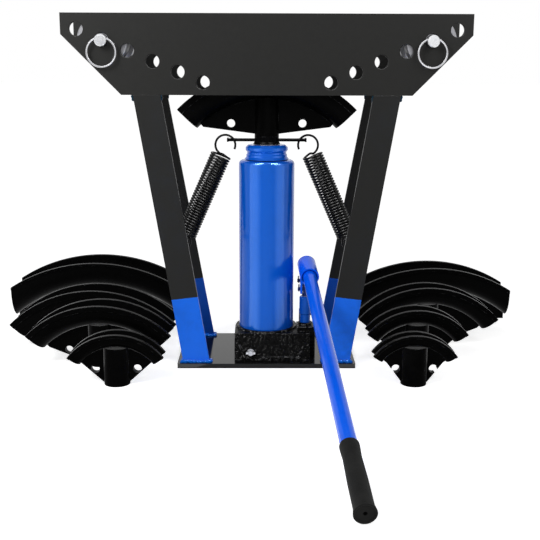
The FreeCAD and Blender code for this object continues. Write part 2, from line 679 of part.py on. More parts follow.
def add_ridges(jack):
    """The raised line round a bare panel on the leaning front: a wide top that narrows to the foot, and a
    round boss with a level face for the release valve."""
    top, low = "(base_thick + ridge_high)", "(base_thick + ridge_low)"
    left, right = "(ridge_inset - jack_left)", "(jack_right - ridge_inset)"
    inside = "-1 * jack_front + jack_slope * 0.75"
    add(jack, "XZ", "-1 * jack_front - 8", inside, loop(
        (left, top), (f"{left} + ridge_lean", low), (f"{right} - ridge_lean", low), (right, top),
        (f"{right} - ridge_wide", top), (f"{right} - ridge_lean - ridge_wide", f"{low} + ridge_wide"),
        (f"{left} + ridge_lean + ridge_wide", f"{low} + ridge_wide"), (f"{left} + ridge_wide", top)))
    cut(jack, "YZ", "-1 * boss_right - 4", "boss_right + 4", before_slope("ridge_proud"))
    add(jack, "XZ", VALVE_FACE, inside, disc("valve_x", "valve_z", "valve_boss"))


def cut_ducts(jack):
    """Oil ways: from the pump and the reservoir through the check balls to the cylinder and the valve."""
    wide, narrow = "(ball_size + 2 * fit_gap)", "(duct_size - duct_step)"
    cut(jack, "YZ", "valve_x - duct_step", "boss_right", disc("duct_y", "duct_z", "duct_size"))
    cut(jack, "YZ", "boss_left - 24", "boss_right", disc("duct_y", "duct_z", wide))
    cut(jack, "XY", "duct_z", "cylinder_seat", disc("0", "duct_y", narrow))
    cut(jack, "XY", "duct_z", "pump_seat", disc("pump_x", "pump_y", narrow))
    cut(jack, "XY", "duct_z", "reservoir_seat", disc("boss_left - 11", "duct_y", narrow))
    cut(jack, "XY", "duct_z + ball_size", "reservoir_seat", disc("boss_left - 11", "duct_y", wide))
    cut(jack, "XZ", VALVE_FACE, f"{VALVE_FACE} + valve_depth", disc("valve_x", "valve_z", "valve_size"))
    cut(jack, "XZ", VALVE_FACE, "duct_y + duct_step", disc("valve_x", "valve_z", narrow))
    cut(jack, "XY", "base_thick", "bolt_length + 1", *[disc(*spot, "bolt_size + fit_gap") for spot in BOLT_SPOTS])


def make_tank():
    tube = body("reservoir_tube")
    outer, inner = "reservoir_size / 2", "(reservoir_size / 2 - reservoir_wall)"
    foot = "(reservoir_seat + gasket_thick)"
    hole = "(nut_neck / 2 + 4 * fit_gap)"
    spin(tube, "XZ", "V", loop(
        (inner, foot), (outer, foot),
        (outer, "reservoir_top - reservoir_round", f"{outer} - reservoir_round",
         "reservoir_top - reservoir_round", 1),
        (f"{outer} - reservoir_round", "reservoir_top"), (hole, "reservoir_top"),
        (hole, "reservoir_top - reservoir_wall"), (inner, "reservoir_top - reservoir_wall")))
    cut(tube, "XZ", f"{inner} - 2", f"{outer} + 2", disc("0", "filler_height", "filler_size"))
    keep("reservoir_tube", tube)

    cylinder = body("pressure_cylinder")
    tube_between(cylinder, "XY", ("0", "0"), "cylinder_size", "cylinder_bore", "cylinder_seat", "cylinder_top")
    keep("pressure_cylinder", cylinder)

    rings = []
    for low, wide in (("reservoir_seat", "reservoir_size"), ("reservoir_top", "nut_size - 2")):
        ring = body("gasket")
        narrow = "reservoir_size - 2 * reservoir_wall - 2" if low == "reservoir_seat" else "nut_neck + 1"
        tube_between(ring, "XY", ("0", "0"), wide, narrow, low, f"{low} + gasket_thick")
        rings.append(ring)
    group = doc.addObject("Part::Compound", "gasket_group")
    group.Links = rings
    keep("reservoir_gaskets", group)

    plug = body("oil_filler_plug")
    neck, head = "filler_size / 2 - fit_gap", "filler_head / 2"
    face = f"({outer} + seat_gap)"
    spin(plug, "YZ", "H", loop(
        (f"{inner} - 2", "0"), (f"{face} + 4", "0"), (f"{face} + 4", f"{head} - 2"), (f"{face} + 2", head),
        (face, head), (face, neck), (f"{inner} - 2", neck)))
    place(plug, "0", "0", "filler_height")
    keep("oil_filler_plug", plug)


def make_tank_nut():
    """Round nut with two beads, screwed on the pressure cylinder to clamp the reservoir."""
    nut = body("tank_nut")
    low = "(reservoir_top + gasket_thick)"
    wide, bore = "nut_size / 2", "(ram_size / 2 + running_gap)"
    spin(nut, "XZ", "V", loop(
        (bore, "cylinder_top"), (bore, "nut_top"), (f"{wide} - 5", "nut_top"),
        (wide, "nut_top - 5"), (wide, "nut_top - 10"), (f"{wide} - 2", "nut_top - 13"),
        ("nut_groove / 2", "nut_top - 14"), ("nut_groove / 2", "nut_top - 17"),
        (f"{wide} - 1.4", "nut_top - 19"), (f"{wide} - 1.4", "nut_top - 23"), (f"{wide} + 2", low),
        ("nut_neck / 2", low), ("nut_neck / 2", "nut_skirt"), ("cylinder_size / 2 + fit_gap", "nut_skirt"),
        ("cylinder_size / 2 + fit_gap", "cylinder_top")))
    soften(nut, "Fillet", "1.5", ring_edge("z", number("nut_top"), number("nut_size - 10")))
    spin(nut, "XZ", "V", oblong(bore, f"{bore} + seal_depth", "nut_top - 6 - seal_height", "nut_top - 6"),
         kind="PartDesign::Groove")
    keep("tank_nut", nut)

    wiper = body("ram_wiper")
    tube_between(wiper, "XY", ("0", "0"), "ram_size + 2 * running_gap + 2 * seal_depth",
                 "ram_size + 2 * running_gap", "nut_top - 6 - seal_height", "nut_top - 6")
    keep("ram_wiper", wiper)


def make_ram():
    ram = body("ram")
    piston = "(cylinder_bore / 2 - running_gap)"
    groove = f"({piston} - seal_depth)"
    low = "(ram_foot + 8)"
    spin(ram, "XZ", "V", loop(
        ("0", "ram_foot"), (piston, "ram_foot"), (piston, low), (groove, low), (groove, f"{low} + seal_height"),
        (piston, f"{low} + seal_height"), (piston, "ram_foot + piston_height"),
        ("ram_size / 2", "ram_foot + piston_height"), ("ram_size / 2", "ram_shoulder"),
        ("ram_spigot / 2", "ram_shoulder"), ("ram_spigot / 2", "ram_top - 2"), ("ram_spigot / 2 - 2", "ram_top"),
        ("0", "ram_top")))
    keep("ram", ram)
    seal = body("piston_seal")
    tube_between(seal, "XY", ("0", "0"), f"2 * {piston}", f"2 * {groove}", low, f"{low} + seal_height")
    keep("piston_seal", seal)


def make_release_valve():
    """A screw with a flange and a round head, and a bright cross bar to turn it by."""
    valve = body("release_valve")
    face = f"({VALVE_FACE} - seat_gap)"
    centre = ("valve_x", "valve_z")
    add(valve, "XZ", face, f"{VALVE_FACE} + valve_depth - 1", disc(*centre, "valve_size - 2 * running_gap"))
    add(valve, "XZ", f"{face} - 2", face, disc(*centre, "valve_flange"))
    add(valve, "XZ", f"{face} - 10", f"{face} - 2", disc(*centre, "valve_head"))
    soften(valve, "Chamfer", "0.8", ring_edge("y", number(f"{face} - 10")))
    add(valve, "XZ", f"{face} - 8", f"{face} - 3.5",
        oblong("valve_x - valve_wing / 2", "valve_x + valve_wing / 2", "valve_z - 2", "valve_z + 2"))
    keep("release_valve", valve)


def make_small_jack_pieces():
    balls = []
    spots = (("boss_left - 24 + ball_size / 2 + 1", "duct_y", "duct_z"),
             ("boss_left - 11", "duct_y", "duct_z + ball_size * 1.5 + 1"))
    for x, y, z in spots:
        ball = doc.addObject("Part::Sphere", "ball")
        bind(ball, "Radius", "ball_size / 2")
        place(ball, x, y, z)
        balls.append(ball)
    group = doc.addObject("Part::Compound", "ball_group")
    group.Links = balls
    keep("check_balls", group)

    plug = body("duct_plug")
    add(plug, "YZ", "boss_right - 12", "boss_right", disc("duct_y", "duct_z", "ball_size + 2 * fit_gap - 0.04"))
    keep("duct_plug", plug)

    bolts = []
    for spot in BOLT_SPOTS:
        bolt = body("jack_bolt")
        shank = "bolt_size / 2"
        spin(bolt, "XZ", "V", loop(
            ("0", "0.4"), ("bolt_head / 2 - 0.4", "0.4"), (shank, "0.4 + (bolt_head - bolt_size) / 2 - 0.4"),
            (shank, "bolt_length"), ("0", "bolt_length")))
        place(bolt, *spot)
        bolts.append(bolt)
    group = doc.addObject("Part::Compound", "bolt_group")
    group.Links = bolts
    keep("jack_bolts", group)


# Pump, link and handle

EAR_INNER = "(tang_thick / 2 + ear_gap)"
EAR_OUTER = "(tang_thick / 2 + ear_gap + ear_thick)"
PUMP_SPOT = ("pump_x", "pump_y")


def handle_line():
    """The rear end of the handle, and its direction towards the grip."""
    rear = Vector(number("pump_x + handle_side"), number("fulcrum_y"), number("fulcrum_z + handle_lift"))
    fall, swing = math.radians(VALUES["handle_fall"]), math.radians(VALUES["handle_swing"])
    way = Vector(math.cos(fall) * math.sin(swing), -math.cos(fall) * math.cos(swing), -math.sin(fall))
    return rear, way


def lay_on_handle(thing):
    """Stand a piece that is turned about Z on the handle's line."""
    place(thing, "pump_x + handle_side", "fulcrum_y", "fulcrum_z + handle_lift",
          FreeCAD.Rotation(Vector(0, 0, 1), handle_line()[1]))


def make_pump():
    pump = body("pump_cylinder")
    bore = "(plunger_size / 2 + running_gap)"
    spin(pump, "XZ", "V", loop(
        (bore, "pump_seat"), ("pump_thread / 2", "pump_seat"), ("pump_thread / 2", "pump_step - 1.5"),
        ("pump_body / 2", "pump_step"), ("pump_body / 2", "pump_top - 1.5"), ("pump_body / 2 - 1.5", "pump_top"),
        (bore, "pump_top")))
    place(pump, "pump_x", "pump_y")
    keep("pump_cylinder", pump)

    plunger = body("pump_plunger")
    shoulder = "(plunger_pin_z - ear_round + 1)"
    low = "(plunger_foot + 3)"
    groove = "(plunger_size / 2 - plunger_seal_depth)"
    spin(plunger, "XZ", "V", loop(
        ("0", "plunger_foot"), ("plunger_size / 2", "plunger_foot"), ("plunger_size / 2", low), (groove, low),
        (groove, f"{low} + plunger_seal_height"), ("plunger_size / 2", f"{low} + plunger_seal_height"),
        ("plunger_size / 2", shoulder), ("0", shoulder)))
    add(plunger, "XZ", "-1 * plunger_size / 2", "plunger_size / 2", oblong(
        "-1 * tang_thick / 2", "tang_thick / 2", f"{shoulder} - 1", "plunger_pin_z + 7.5"))
    cut(plunger, "YZ", "-1 * tang_thick", "tang_thick", disc("0", "plunger_pin_z", "pivot_size + fit_gap"))
    place(plunger, "pump_x", "pump_y")
    keep("pump_plunger", plunger)

    seal = body("plunger_seal")
    tube_between(seal, "XY", PUMP_SPOT, "plunger_size", f"2 * {groove}", low, f"{low} + plunger_seal_height")
    keep("plunger_seal", seal)


def make_link():
    link = body("pump_link")
    add(link, "YZ", "pump_x - tang_thick / 2", "pump_x + tang_thick / 2",
        slot("link_foot_y", "link_foot_z", "fulcrum_y", "fulcrum_z", "link_width / 2"))
    cut(link, "YZ", "pump_x - tang_thick", "pump_x + tang_thick",
        disc("link_foot_y", "link_foot_z", "pivot_size + fit_gap"),
        disc("fulcrum_y", "fulcrum_z", "pivot_size + fit_gap"))
    keep("pump_link", link)


def make_socket():
    """A closed tube over two ears: the fulcrum pin turns in the rear hole, the plunger pin in the slot."""
    shell = body("socket_shell")
    spin(shell, "XZ", "V", oblong("0", "socket_size / 2", "0", "socket_length"))
    soften(shell, "Fillet", "socket_end / 2", ring_edge("z", 0.0))
    lay_on_handle(shell)

    rear, way = handle_line()
    drop = way.z / way.y
    ears = []
    for side in (-1, 1):
        ear = body("socket_ear")
        start, end = sorted((f"pump_x + {side} * {EAR_INNER}", f"pump_x + {side} * {EAR_OUTER}"), key=number)
        back, front = "(fulcrum_y + ear_round + 1)", "(pump_y - ear_round - 3)"
        top = "fulcrum_z + handle_lift - socket_size / 4"
        add(ear, "YZ", start, end, loop(
            (back, "fulcrum_z - ear_round + 2"), (back, f"{top} + {drop:.6f} * ({back} - fulcrum_y)"),
            (front, f"{top} + {drop:.6f} * ({front} - fulcrum_y)"), (front, "plunger_pin_z - ear_round + 3"),
            ("pump_y - 3", "plunger_pin_z - ear_round"), ("fulcrum_y + 3", "fulcrum_z - ear_round - 1")))
        reach = "sqrt((pump_y - fulcrum_y) ^ 2 + (plunger_pin_z - fulcrum_z) ^ 2)"
        run, rise = f"(pump_y - fulcrum_y) / {reach}", f"(plunger_pin_z - fulcrum_z) / {reach}"
        cut(ear, "YZ", start, end,
            disc("fulcrum_y", "fulcrum_z", "pivot_size + 2 * running_gap"),
            slot(f"(pump_y - {run} * slot_play)", f"(plunger_pin_z - {rise} * slot_play)",
                 f"(pump_y + {run} * slot_play)", f"(plunger_pin_z + {rise} * slot_play)",
                 "pivot_size / 2 + slot_gap"))
        ears.append(ear)
    whole = doc.addObject("Part::MultiFuse", "socket_whole")
    whole.Shapes = [shell] + ears
    hollow = doc.addObject("Part::Cylinder", "socket_hollow")
    bind(hollow, "Radius", "handle_size / 2 + fit_gap")
    bind(hollow, "Height", "socket_length")
    begin = rear + way * VALUES["socket_end"]
    hollow.Placement = FreeCAD.Placement(begin, FreeCAD.Rotation(Vector(0, 0, 1), way))
    mouth = doc.addObject("Part::Cylinder", "socket_mouth_hollow")
    bind(mouth, "Radius", "socket_mouth / 2")
    bind(mouth, "Height", "mouth_depth + 1")
    begin = rear + way * (VALUES["socket_length"] - VALUES["mouth_depth"])
    mouth.Placement = FreeCAD.Placement(begin, FreeCAD.Rotation(Vector(0, 0, 1), way))
    bored = doc.addObject("Part::Cut", "handle_socket_bored")
    bored.Base = whole
    bored.Tool = hollow
    socket = doc.addObject("Part::Cut", "handle_socket_cut")
    socket.Base = bored
    socket.Tool = mouth
    keep("handle_socket", socket)


def make_pivot_pin(name, y, z, side=-1, stub="pin_reach / 2"):
    """A pivot pin that stands out on one side, with a cross hole there for the clip."""
    reach = {side: f"({EAR_OUTER} + pin_reach)", -side: f"({EAR_OUTER} + {stub})"}
    pin = body(name)
    add(pin, "YZ", f"pump_x - {reach[-1]}", f"pump_x + {reach[1]}", disc(y, z, "pivot_size"))
    cut(pin, "XY", f"{z} - pivot_size", f"{z} + pivot_size",
        disc(f"pump_x + {side} * ({EAR_OUTER} + pin_reach / 2)", y, "clip_wire + fit_gap"))
    keep(name, pin)


def curl(sketch):
    """The wire line of a clip: a straight leg that curls round in an eye."""
    half, eye, turn = "clip_length / 2", "clip_eye", 110.0
    top = Vector(0, number(half), 0)
    centre = Vector(number(eye), number(half), 0)
    sketch.addGeometry(Part.LineSegment(Vector(0, -number(half), 0), top), False)
    circle = Part.Circle(centre, Vector(0, 0, 1), number(eye))
    sketch.addGeometry(Part.ArcOfCircle(circle, math.radians(turn - 180), math.radians(180)), False)
    sketch.addConstraint(Sketcher.Constraint("Coincident", 0, 2, 1, 2))
    pin_down(sketch, 0, 1, "0", f"-1 * {half}")
    pin_down(sketch, 0, 2, "0", half)
    pin_down(sketch, 1, 3, eye, half)
    end = f"{eye} - {eye} * cos({turn})"
    rule = Sketcher.Constraint("DistanceX", -1, 1, 1, 1, number(end))
    sketch.renameConstraint(sketch.addConstraint(rule), "Eye_end")
    bind(sketch, "Constraints.Eye_end", end)


def make_clip(name, spots):
    """Bent wire clips: a leg through the pivot pin and an eye on top."""
    clips = []
    for y, z, side in spots:
        clip = body("clip")
        spine = sketch_on(clip, "YZ")
        curl(spine)
        profile = sketch_on(clip, "XY", "-1 * clip_length / 2")
        disc("0", "0", "clip_wire")(profile)
        doc.recompute()
        pipe = clip.newObject("PartDesign::AdditivePipe", "Pipe")
        pipe.Profile = profile
        pipe.Spine = (spine, [])
        doc.recompute()
        place(clip, f"pump_x + {side} * ({EAR_OUTER} + pin_reach / 2)", y, z)
        clips.append(clip)
    if len(clips) == 1:
        keep(name, clips[0])
        return
    group = doc.addObject("Part::Compound", "clip_group")
    group.Links = clips
    keep(name, group)


def make_handle():
    tube = body("handle_tube")
    start, end = "(socket_end + 1)", "(handle_reach - grip_cap - 1)"
    tube_between(tube, "XY", ("0", "0"), "handle_size", "handle_size - 2 * handle_wall", start, end)
    lay_on_handle(tube)
    keep("handle_tube", tube)

    grip = body("handle_grip")
    low, high = "(handle_reach - grip_length)", "handle_reach"
    bore, vent = "(handle_size / 2 + fit_gap / 2)", "grip_vent / 2"
    spin(grip, "XZ", "V", loop(
        (bore, low), ("grip_start / 2 - 0.8", low), ("grip_start / 2", f"{low} + 1.5"),
        ("grip_end / 2", f"{high} - 3"), ("grip_end / 2 - 2", high), (vent, high), (vent, f"{high} - grip_cap"),
        (bore, f"{high} - grip_cap")))
    lay_on_handle(grip)
    keep("handle_grip", grip)


# Spring collar, arms, springs and their anchors

COLLAR_FOOT = "(ram_shoulder - collar_skirt)"
COLLAR_TOP = "(ram_shoulder + collar_height)"
HOOK_CROSS = "(hook_x - sqrt(hook_radius ^ 2 - (arm_z - hook_z) ^ 2))"


def make_spring_collar():
    collar = body("spring_collar")
    spin(collar, "XZ", "V", loop(
        ("ram_size / 2 + 0.3", COLLAR_FOOT), ("collar_flare / 2", COLLAR_FOOT),
        ("collar_flare / 2", f"{COLLAR_FOOT} + 1.5"), ("collar_size / 2", f"{COLLAR_FOOT} + 5"),
        ("collar_size / 2", COLLAR_TOP), ("ram_spigot / 2 + fit_gap", COLLAR_TOP),
        ("ram_spigot / 2 + fit_gap", "ram_shoulder"), ("ram_size / 2 + 0.3", "ram_shoulder")))
    keep("spring_collar", collar)


def make_spring_arm(name, side):
    arm = body(name)
    ends = sorted((f"{side} * ram_spigot / 2", f"{side} * arm_length"), key=number)
    add(arm, "XY", "arm_z - arm_thick / 2", "arm_z + arm_thick / 2",
        oblong(ends[0], ends[1], "-1 * arm_width / 2", "arm_width / 2"))
    lip = sorted((f"{side} * (arm_length - 3)", f"{side} * arm_length"), key=number)
    add(arm, "XY", "arm_z - arm_lip / 2", "arm_z + arm_lip / 2",
        oblong(lip[0], lip[1], "-1 * arm_width / 2", "arm_width / 2"))
    cut(arm, "XY", "arm_z - arm_lip", "arm_z + arm_lip", disc("0", "0", "collar_size"))
    cut(arm, "XY", "arm_z - arm_lip", "arm_z + arm_lip", disc(f"{side} * {HOOK_CROSS}", "0", "arm_hole"))
    keep(name, arm)


def biarc(start, leave, end, arrive):
    """Two arcs that join at one tangent, from a point and its direction to another."""
    gap = end - start
    both = leave + arrive
    square = 2 * (leave.dot(arrive) - 1)
    if abs(square) < 1e-9:
        reach = gap.dot(gap) / (2 * gap.dot(both))
    else:
        half = -2 * gap.dot(both)
        reach = (-half - math.sqrt(half * half - 4 * square * gap.dot(gap))) / (2 * square)
    middle = (start + leave * reach + end - arrive * reach) * 0.5
    return [arc_from(start, leave, middle), arc_from(end, arrive * -1, middle, True)]


def arc_from(start, leave, end, backwards=False):
    """The arc that leaves a point in a direction and ends at another point."""
    chord = end - start
    along = Vector(chord).normalize()
    lean = leave - along * leave.dot(along)
    if lean.Length < 1e-9:
        ends = (end, start) if backwards else (start, end)
        return Part.LineSegment(*ends).toShape()
    angle = math.acos(max(-1.0, min(1.0, leave.dot(along))))
    top = (start + end) * 0.5 + lean.normalize() * (chord.Length / 2 * math.tan(angle / 2))
    return (Part.Arc(end, top, start) if backwards else Part.Arc(start, top, end)).toShape()


def hook_stops(radius, lift):
    """Points and directions of a hook over the coil's end: a step to the middle, then most of a circle.
    They stand in the coil's own frame, with Z along the coil and its last point at -X."""
    mean = VALUES["spring_mean"] / 2
    clear = VALUES["spring_wire"]
    stops = [(Vector(-mean * 0.36, mean * 0.57, clear * 0.75), Vector(1, 0.1, 0.28))]
    centre = Vector(0, 0, lift)
    begin, finish, steps = -67.5, 181.0, 4
    for step in range(steps + 1):
        turn = math.radians(begin + (finish - begin) * step / steps)
        spot = centre + Vector(math.cos(turn), 0, math.sin(turn)) * radius
        stops.append((spot, Vector(-math.sin(turn), 0, math.cos(turn))))
    return [(spot, way.normalize()) for spot, way in stops]


def spring_route():
    """The left spring's wire line in the coil's frame, from the lower hook to the upper one."""
    mean, pitch = VALUES["spring_mean"] / 2, VALUES["spring_pitch"]
    halves = 2 * int(VALUES["spring_turns"]) + 1
    length = pitch * halves / 2
    upper = hook_stops(VALUES["hook_radius"], VALUES["hook_radius"] + VALUES["spring_wire"] / 2)
    lower = hook_stops(VALUES["eye_radius"], VALUES["eye_radius"] + VALUES["spring_wire"] / 2)
    route = []
    for spot, way in reversed(lower):
        route.append((Vector(-spot.x, spot.y, -spot.z), Vector(way.x, -way.y, way.z)))
    for step in range(halves + 1):
        turn = math.pi * step
        spot = Vector(mean * math.cos(turn), 0, pitch * step / 2)
        way = Vector(0, -mean * math.cos(turn), pitch / (2 * math.pi)).normalize()
        route.append((spot, way))
    for spot, way in upper:
        route.append((spot + Vector(0, 0, length), way))
    return route, length


def rod_place():
    """Where the springs' lower hooks are held: on the spring's line, inside the lower hook."""
    slope = math.radians(VALUES["spring_slope"])
    route, length = spring_route()
    wire, rod = VALUES["spring_wire"], VALUES["rod_size"]
    upper = VALUES["hook_radius"] + wire / 2
    lower = VALUES["eye_radius"] + wire / 2
    inside = VALUES["eye_radius"] - wire / 2 - rod / 2 - VALUES["seat_gap"]
    down = upper + length + lower + inside
    return VALUES["hook_x"] + down * math.sin(slope), VALUES["hook_z"] - down * math.cos(slope)


def make_springs():
    route, length = spring_route()
    edges = []
    for (start, leave), (end, arrive) in zip(route, route[1:]):
        edges += biarc(start, leave, end, arrive)
    path = Part.Wire(edges)
    wire = VALUES["spring_wire"] / 2
    ring = Part.Wire([Part.Circle(route[0][0], route[0][1], wire).toShape()])
    solid = path.makePipeShell([ring], True, False)
    tightest = min(edge.Curve.Radius for edge in edges if isinstance(edge.Curve, Part.Circle))
    print(f"spring: {length:.1f} mm of coil, tightest bend {tightest:.2f} mm, least gap "
          f"{least_gap(edges):.2f} mm, volume {solid.Volume:.0f} against {math.pi * wire ** 2 * path.Length:.0f}")
    slope = math.radians(VALUES["spring_slope"])
    upper = VALUES["hook_radius"] + VALUES["spring_wire"] / 2
    for name, side in (("return_spring_left", -1), ("return_spring_right", 1)):
        along = Vector(-side * math.sin(slope), 0, math.cos(slope))
        out = Vector(side * math.cos(slope), 0, math.sin(slope))
        top = Vector(side * VALUES["hook_x"], 0, VALUES["hook_z"]) - along * upper
        foot = top - along * length
        spring = doc.addObject("Part::Feature", name + "_wire")
        across = along.cross(out)
        turned = FreeCAD.Placement(foot, FreeCAD.Rotation(out, across, along, "ZXY"))
        spring.Shape = solid
        spring.Placement = turned
        keep(name, spring)


def least_gap(edges):
    """The smallest clear distance between stretches of the wire that lie apart along it."""
    spots, run = [], 0.0
    for edge in edges:
        for share in (0.0, 0.25, 0.5, 0.75):
            first, last = edge.ParameterRange
            spots.append((run + edge.Length * share, edge.valueAt(first + (last - first) * share)))
        run += edge.Length
    wire = VALUES["spring_wire"]
    apart = [a[1].distanceToPoint(b[1]) for n, a in enumerate(spots) for b in spots[n + 1:n + 80]
             if b[0] - a[0] > 6 * wire]
    return min(apart) - wire


def make_anchor_rod(name, side):
    x, z = rod_place()
    reach = number(f"beam_gap / 2 + {LEG_LEAN} * ({BEAM_FOOT} - {z:.4f} - rod_size / 2)")
    rod = doc.addObject("Part::Cylinder", name + "_rod")
    bind(rod, "Radius", "rod_size / 2")
    rod.Height = 2 * reach
    rod.Placement = FreeCAD.Placement(Vector(side * x, reach, z), FreeCAD.Rotation(Vector(1, 0, 0), 90))
    keep(name, rod)


# Bending dies


def make_die(name, centre_x, centre_y, foot_z):
    """A cast die: a round channel over a flat web, with a socket boss for the ram's head."""
    pipe, lip, half_angle, wall_run, height, hole_x, hole_fall, half_length = DIES[name]
    groove = pipe / 2
    die = body(name)
    middle = lip - wall_run
    side = f"({groove} + die_side)"
    edge = f"({side} + lip_proud)"
    spin(die, "YZ", "H", loop(
        (f"-1 * {edge}", lip), (f"-1 * {edge}", f"{lip} - lip_height * {wall_run} / 15"),
        (f"-1 * {side}", f"{lip} - lip_height * {wall_run} / 15"),
        (f"-1 * {side}", middle, "0", middle, 1), (side, middle),
        (side, f"{lip} - lip_height * {wall_run} / 15"), (edge, f"{lip} - lip_height * {wall_run} / 15"),
        (edge, lip), (groove, lip), (groove, middle, "0", middle, -1), (-groove, middle), (-groove, lip)),
        degrees=2 * half_angle)
    under = lip - wall_run - groove - VALUES["die_side"]
    foot = lip - height
    rim = f"({under} + die_side / 2)"
    turn = half_angle - 3
    boss = "socket_boss / 2"
    if half_length is None:
        low = foot + 5
        wing = (f"({under} - 6) * sin({turn})", f"({under} - 6) * cos({turn})")
    else:
        low = foot + 20
        wing = (f"{rim} * sin({turn})", low)
    web = [(f"-1 * {rim} * sin({turn})", f"{rim} * cos({turn})"), (f"-1 * {wing[0]}", wing[1]),
           (f"-1 * {boss}", low), (boss, low), wing, (f"{rim} * sin({turn})", f"{rim} * cos({turn})", "0", "0", 1)]
    add(die, "XZ", "-1 * web_thick / 2", "web_thick / 2", loop(*web))
    add(die, "XY", foot, math.sqrt((under + 4) ** 2 - (VALUES["socket_boss"] / 2) ** 2),
        disc("0", "0", "socket_boss"))
    cut(die, "XY", foot, f"{foot} + socket_depth", disc("0", "0", "ram_spigot + 2 * running_gap"))
    if half_length is not None:
        for mark in (-1, 1):
            left, right = sorted((mark * half_length, mark * lip))
            cut(die, "XZ", -lip, lip, oblong(left, right, 0, lip + 1))
    hole_z = lip - hole_fall
    cut(die, "XZ", "-1 * web_thick", "web_thick", disc(hole_x, hole_z, "die_hole"),
        disc(-hole_x, hole_z, "die_hole"))
    place(die, centre_x, centre_y, f"{foot_z} - {foot}")
    keep(name, die)


def make_dies():
    make_die("bending_die", "0", "0", COLLAR_TOP)
    for name, (x, y) in STANDS.items():
        make_die(name, x, y, "0")


def make_all():
    make_frame()
    for side, hand in ((-1, "left"), (1, "right")):
        make_roller("roller_" + hand, side)
        make_pin("roller_pin_" + hand, side)
        make_ring("pull_ring_" + hand, side)
        make_anchor_rod("spring_anchor_" + hand, side)
        make_spring_arm("spring_arm_" + hand, side)
    make_jack_base()
    make_tank()
    make_tank_nut()
    make_ram()
    make_release_valve()
    make_small_jack_pieces()
    make_pump()
    make_link()
    make_socket()
    make_pivot_pin("link_pin", "link_foot_y", "link_foot_z", 1, "0")
    make_pivot_pin("fulcrum_pin", "fulcrum_y", "fulcrum_z")
    make_pivot_pin("plunger_pin", "pump_y", "plunger_pin_z")
    make_clip("link_clips", [("link_foot_y", "link_foot_z", 1), ("fulcrum_y", "fulcrum_z", -1)])
    make_clip("plunger_clip", [("pump_y", "plunger_pin_z", -1)])
    make_handle()
    make_spring_collar()
    make_springs()
    make_dies()
    doc.recompute()


def check_and_write():
    """Write one file a piece, once every object and every shape is sound."""
    for thing in doc.Objects:
        if "Invalid" in thing.State or "Error" in thing.State:
            raise RuntimeError(f"{thing.Name} of {thing.Label} failed: {thing.State}")
    os.makedirs("parts", exist_ok=True)
    for name, thing in pieces.items():
        shape = thing.Shape
        if shape.isNull() or not shape.isValid() or not shape.Solids:
            raise RuntimeError(f"{name} has no sound solid")
        print(f"{name}: {len(shape.Solids)} solid, {shape.Volume / 1000:.1f} cm3")
        shape.exportStep(f"parts/{name}.step")
    print(len(pieces), "pieces")


make_all()
check_and_write()
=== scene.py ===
# %% [markdown]
# # A hydraulic pipe bender
# A pipe bender is a welded steel frame round a bottle jack. A pipe lies under two grooved rollers, and the
# jack pushes a curved die up against the middle of it. The shapes of the steel parts come ready made from
# the drawing. This lesson paints them, and models what a drawing can't give: the return springs, weld beads
# with their ripples, and a foam grip.

# %% Load the bender
import math
import random

import bpy
from mathutils import Matrix, Vector


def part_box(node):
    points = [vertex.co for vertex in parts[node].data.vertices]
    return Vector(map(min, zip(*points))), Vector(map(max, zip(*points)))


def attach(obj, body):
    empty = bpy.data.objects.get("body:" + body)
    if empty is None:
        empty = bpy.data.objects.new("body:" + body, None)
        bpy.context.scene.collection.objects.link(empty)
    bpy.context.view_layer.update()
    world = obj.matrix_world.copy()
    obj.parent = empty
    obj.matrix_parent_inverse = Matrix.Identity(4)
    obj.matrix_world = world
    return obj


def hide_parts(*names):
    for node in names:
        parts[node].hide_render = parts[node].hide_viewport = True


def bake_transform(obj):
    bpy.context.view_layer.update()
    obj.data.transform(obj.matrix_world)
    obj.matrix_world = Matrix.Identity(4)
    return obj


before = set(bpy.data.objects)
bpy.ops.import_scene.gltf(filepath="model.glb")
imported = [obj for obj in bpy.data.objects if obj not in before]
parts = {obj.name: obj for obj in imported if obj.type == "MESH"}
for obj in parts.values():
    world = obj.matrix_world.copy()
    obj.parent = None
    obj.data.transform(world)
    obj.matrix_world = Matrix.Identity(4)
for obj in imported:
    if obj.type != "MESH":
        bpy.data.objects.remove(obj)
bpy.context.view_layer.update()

# %% [markdown]
# ## Helpers for picking
# Blender's operators act on whatever is picked, and the loaded parts come in picked. So every new piece
# starts with nothing picked. A finished piece keeps its object at the origin, with its place in the mesh,
# so that a pattern that reads the object's own coordinates stays where it is painted.

# %% Pick and finish a piece


def pick_nothing():
    if bpy.context.mode != "OBJECT":
        bpy.ops.object.mode_set(mode="OBJECT")
    bpy.ops.object.select_all(action="DESELECT")


def pick(piece):
    pick_nothing()
    piece.select_set(True)
    bpy.context.view_layer.objects.active = piece


def edit(piece, mode="FACE"):
    pick(piece)
    bpy.ops.object.mode_set(mode="EDIT")
    bpy.ops.mesh.select_mode(type=mode)
    bpy.ops.mesh.select_all(action="DESELECT")


def pick_points(piece, wanted):
    """Picks the points of the piece in edit mode whose place passes the test."""
    bpy.ops.object.mode_set(mode="OBJECT")
    for point in piece.data.vertices:
        point.select = wanted(point.co)
    bpy.ops.object.mode_set(mode="EDIT")
    bpy.ops.mesh.select_mode(type="VERT")


def apply_modifiers(piece):
    pick(piece)
    for modifier in list(piece.modifiers):
        bpy.ops.object.modifier_apply(modifier=modifier.name)


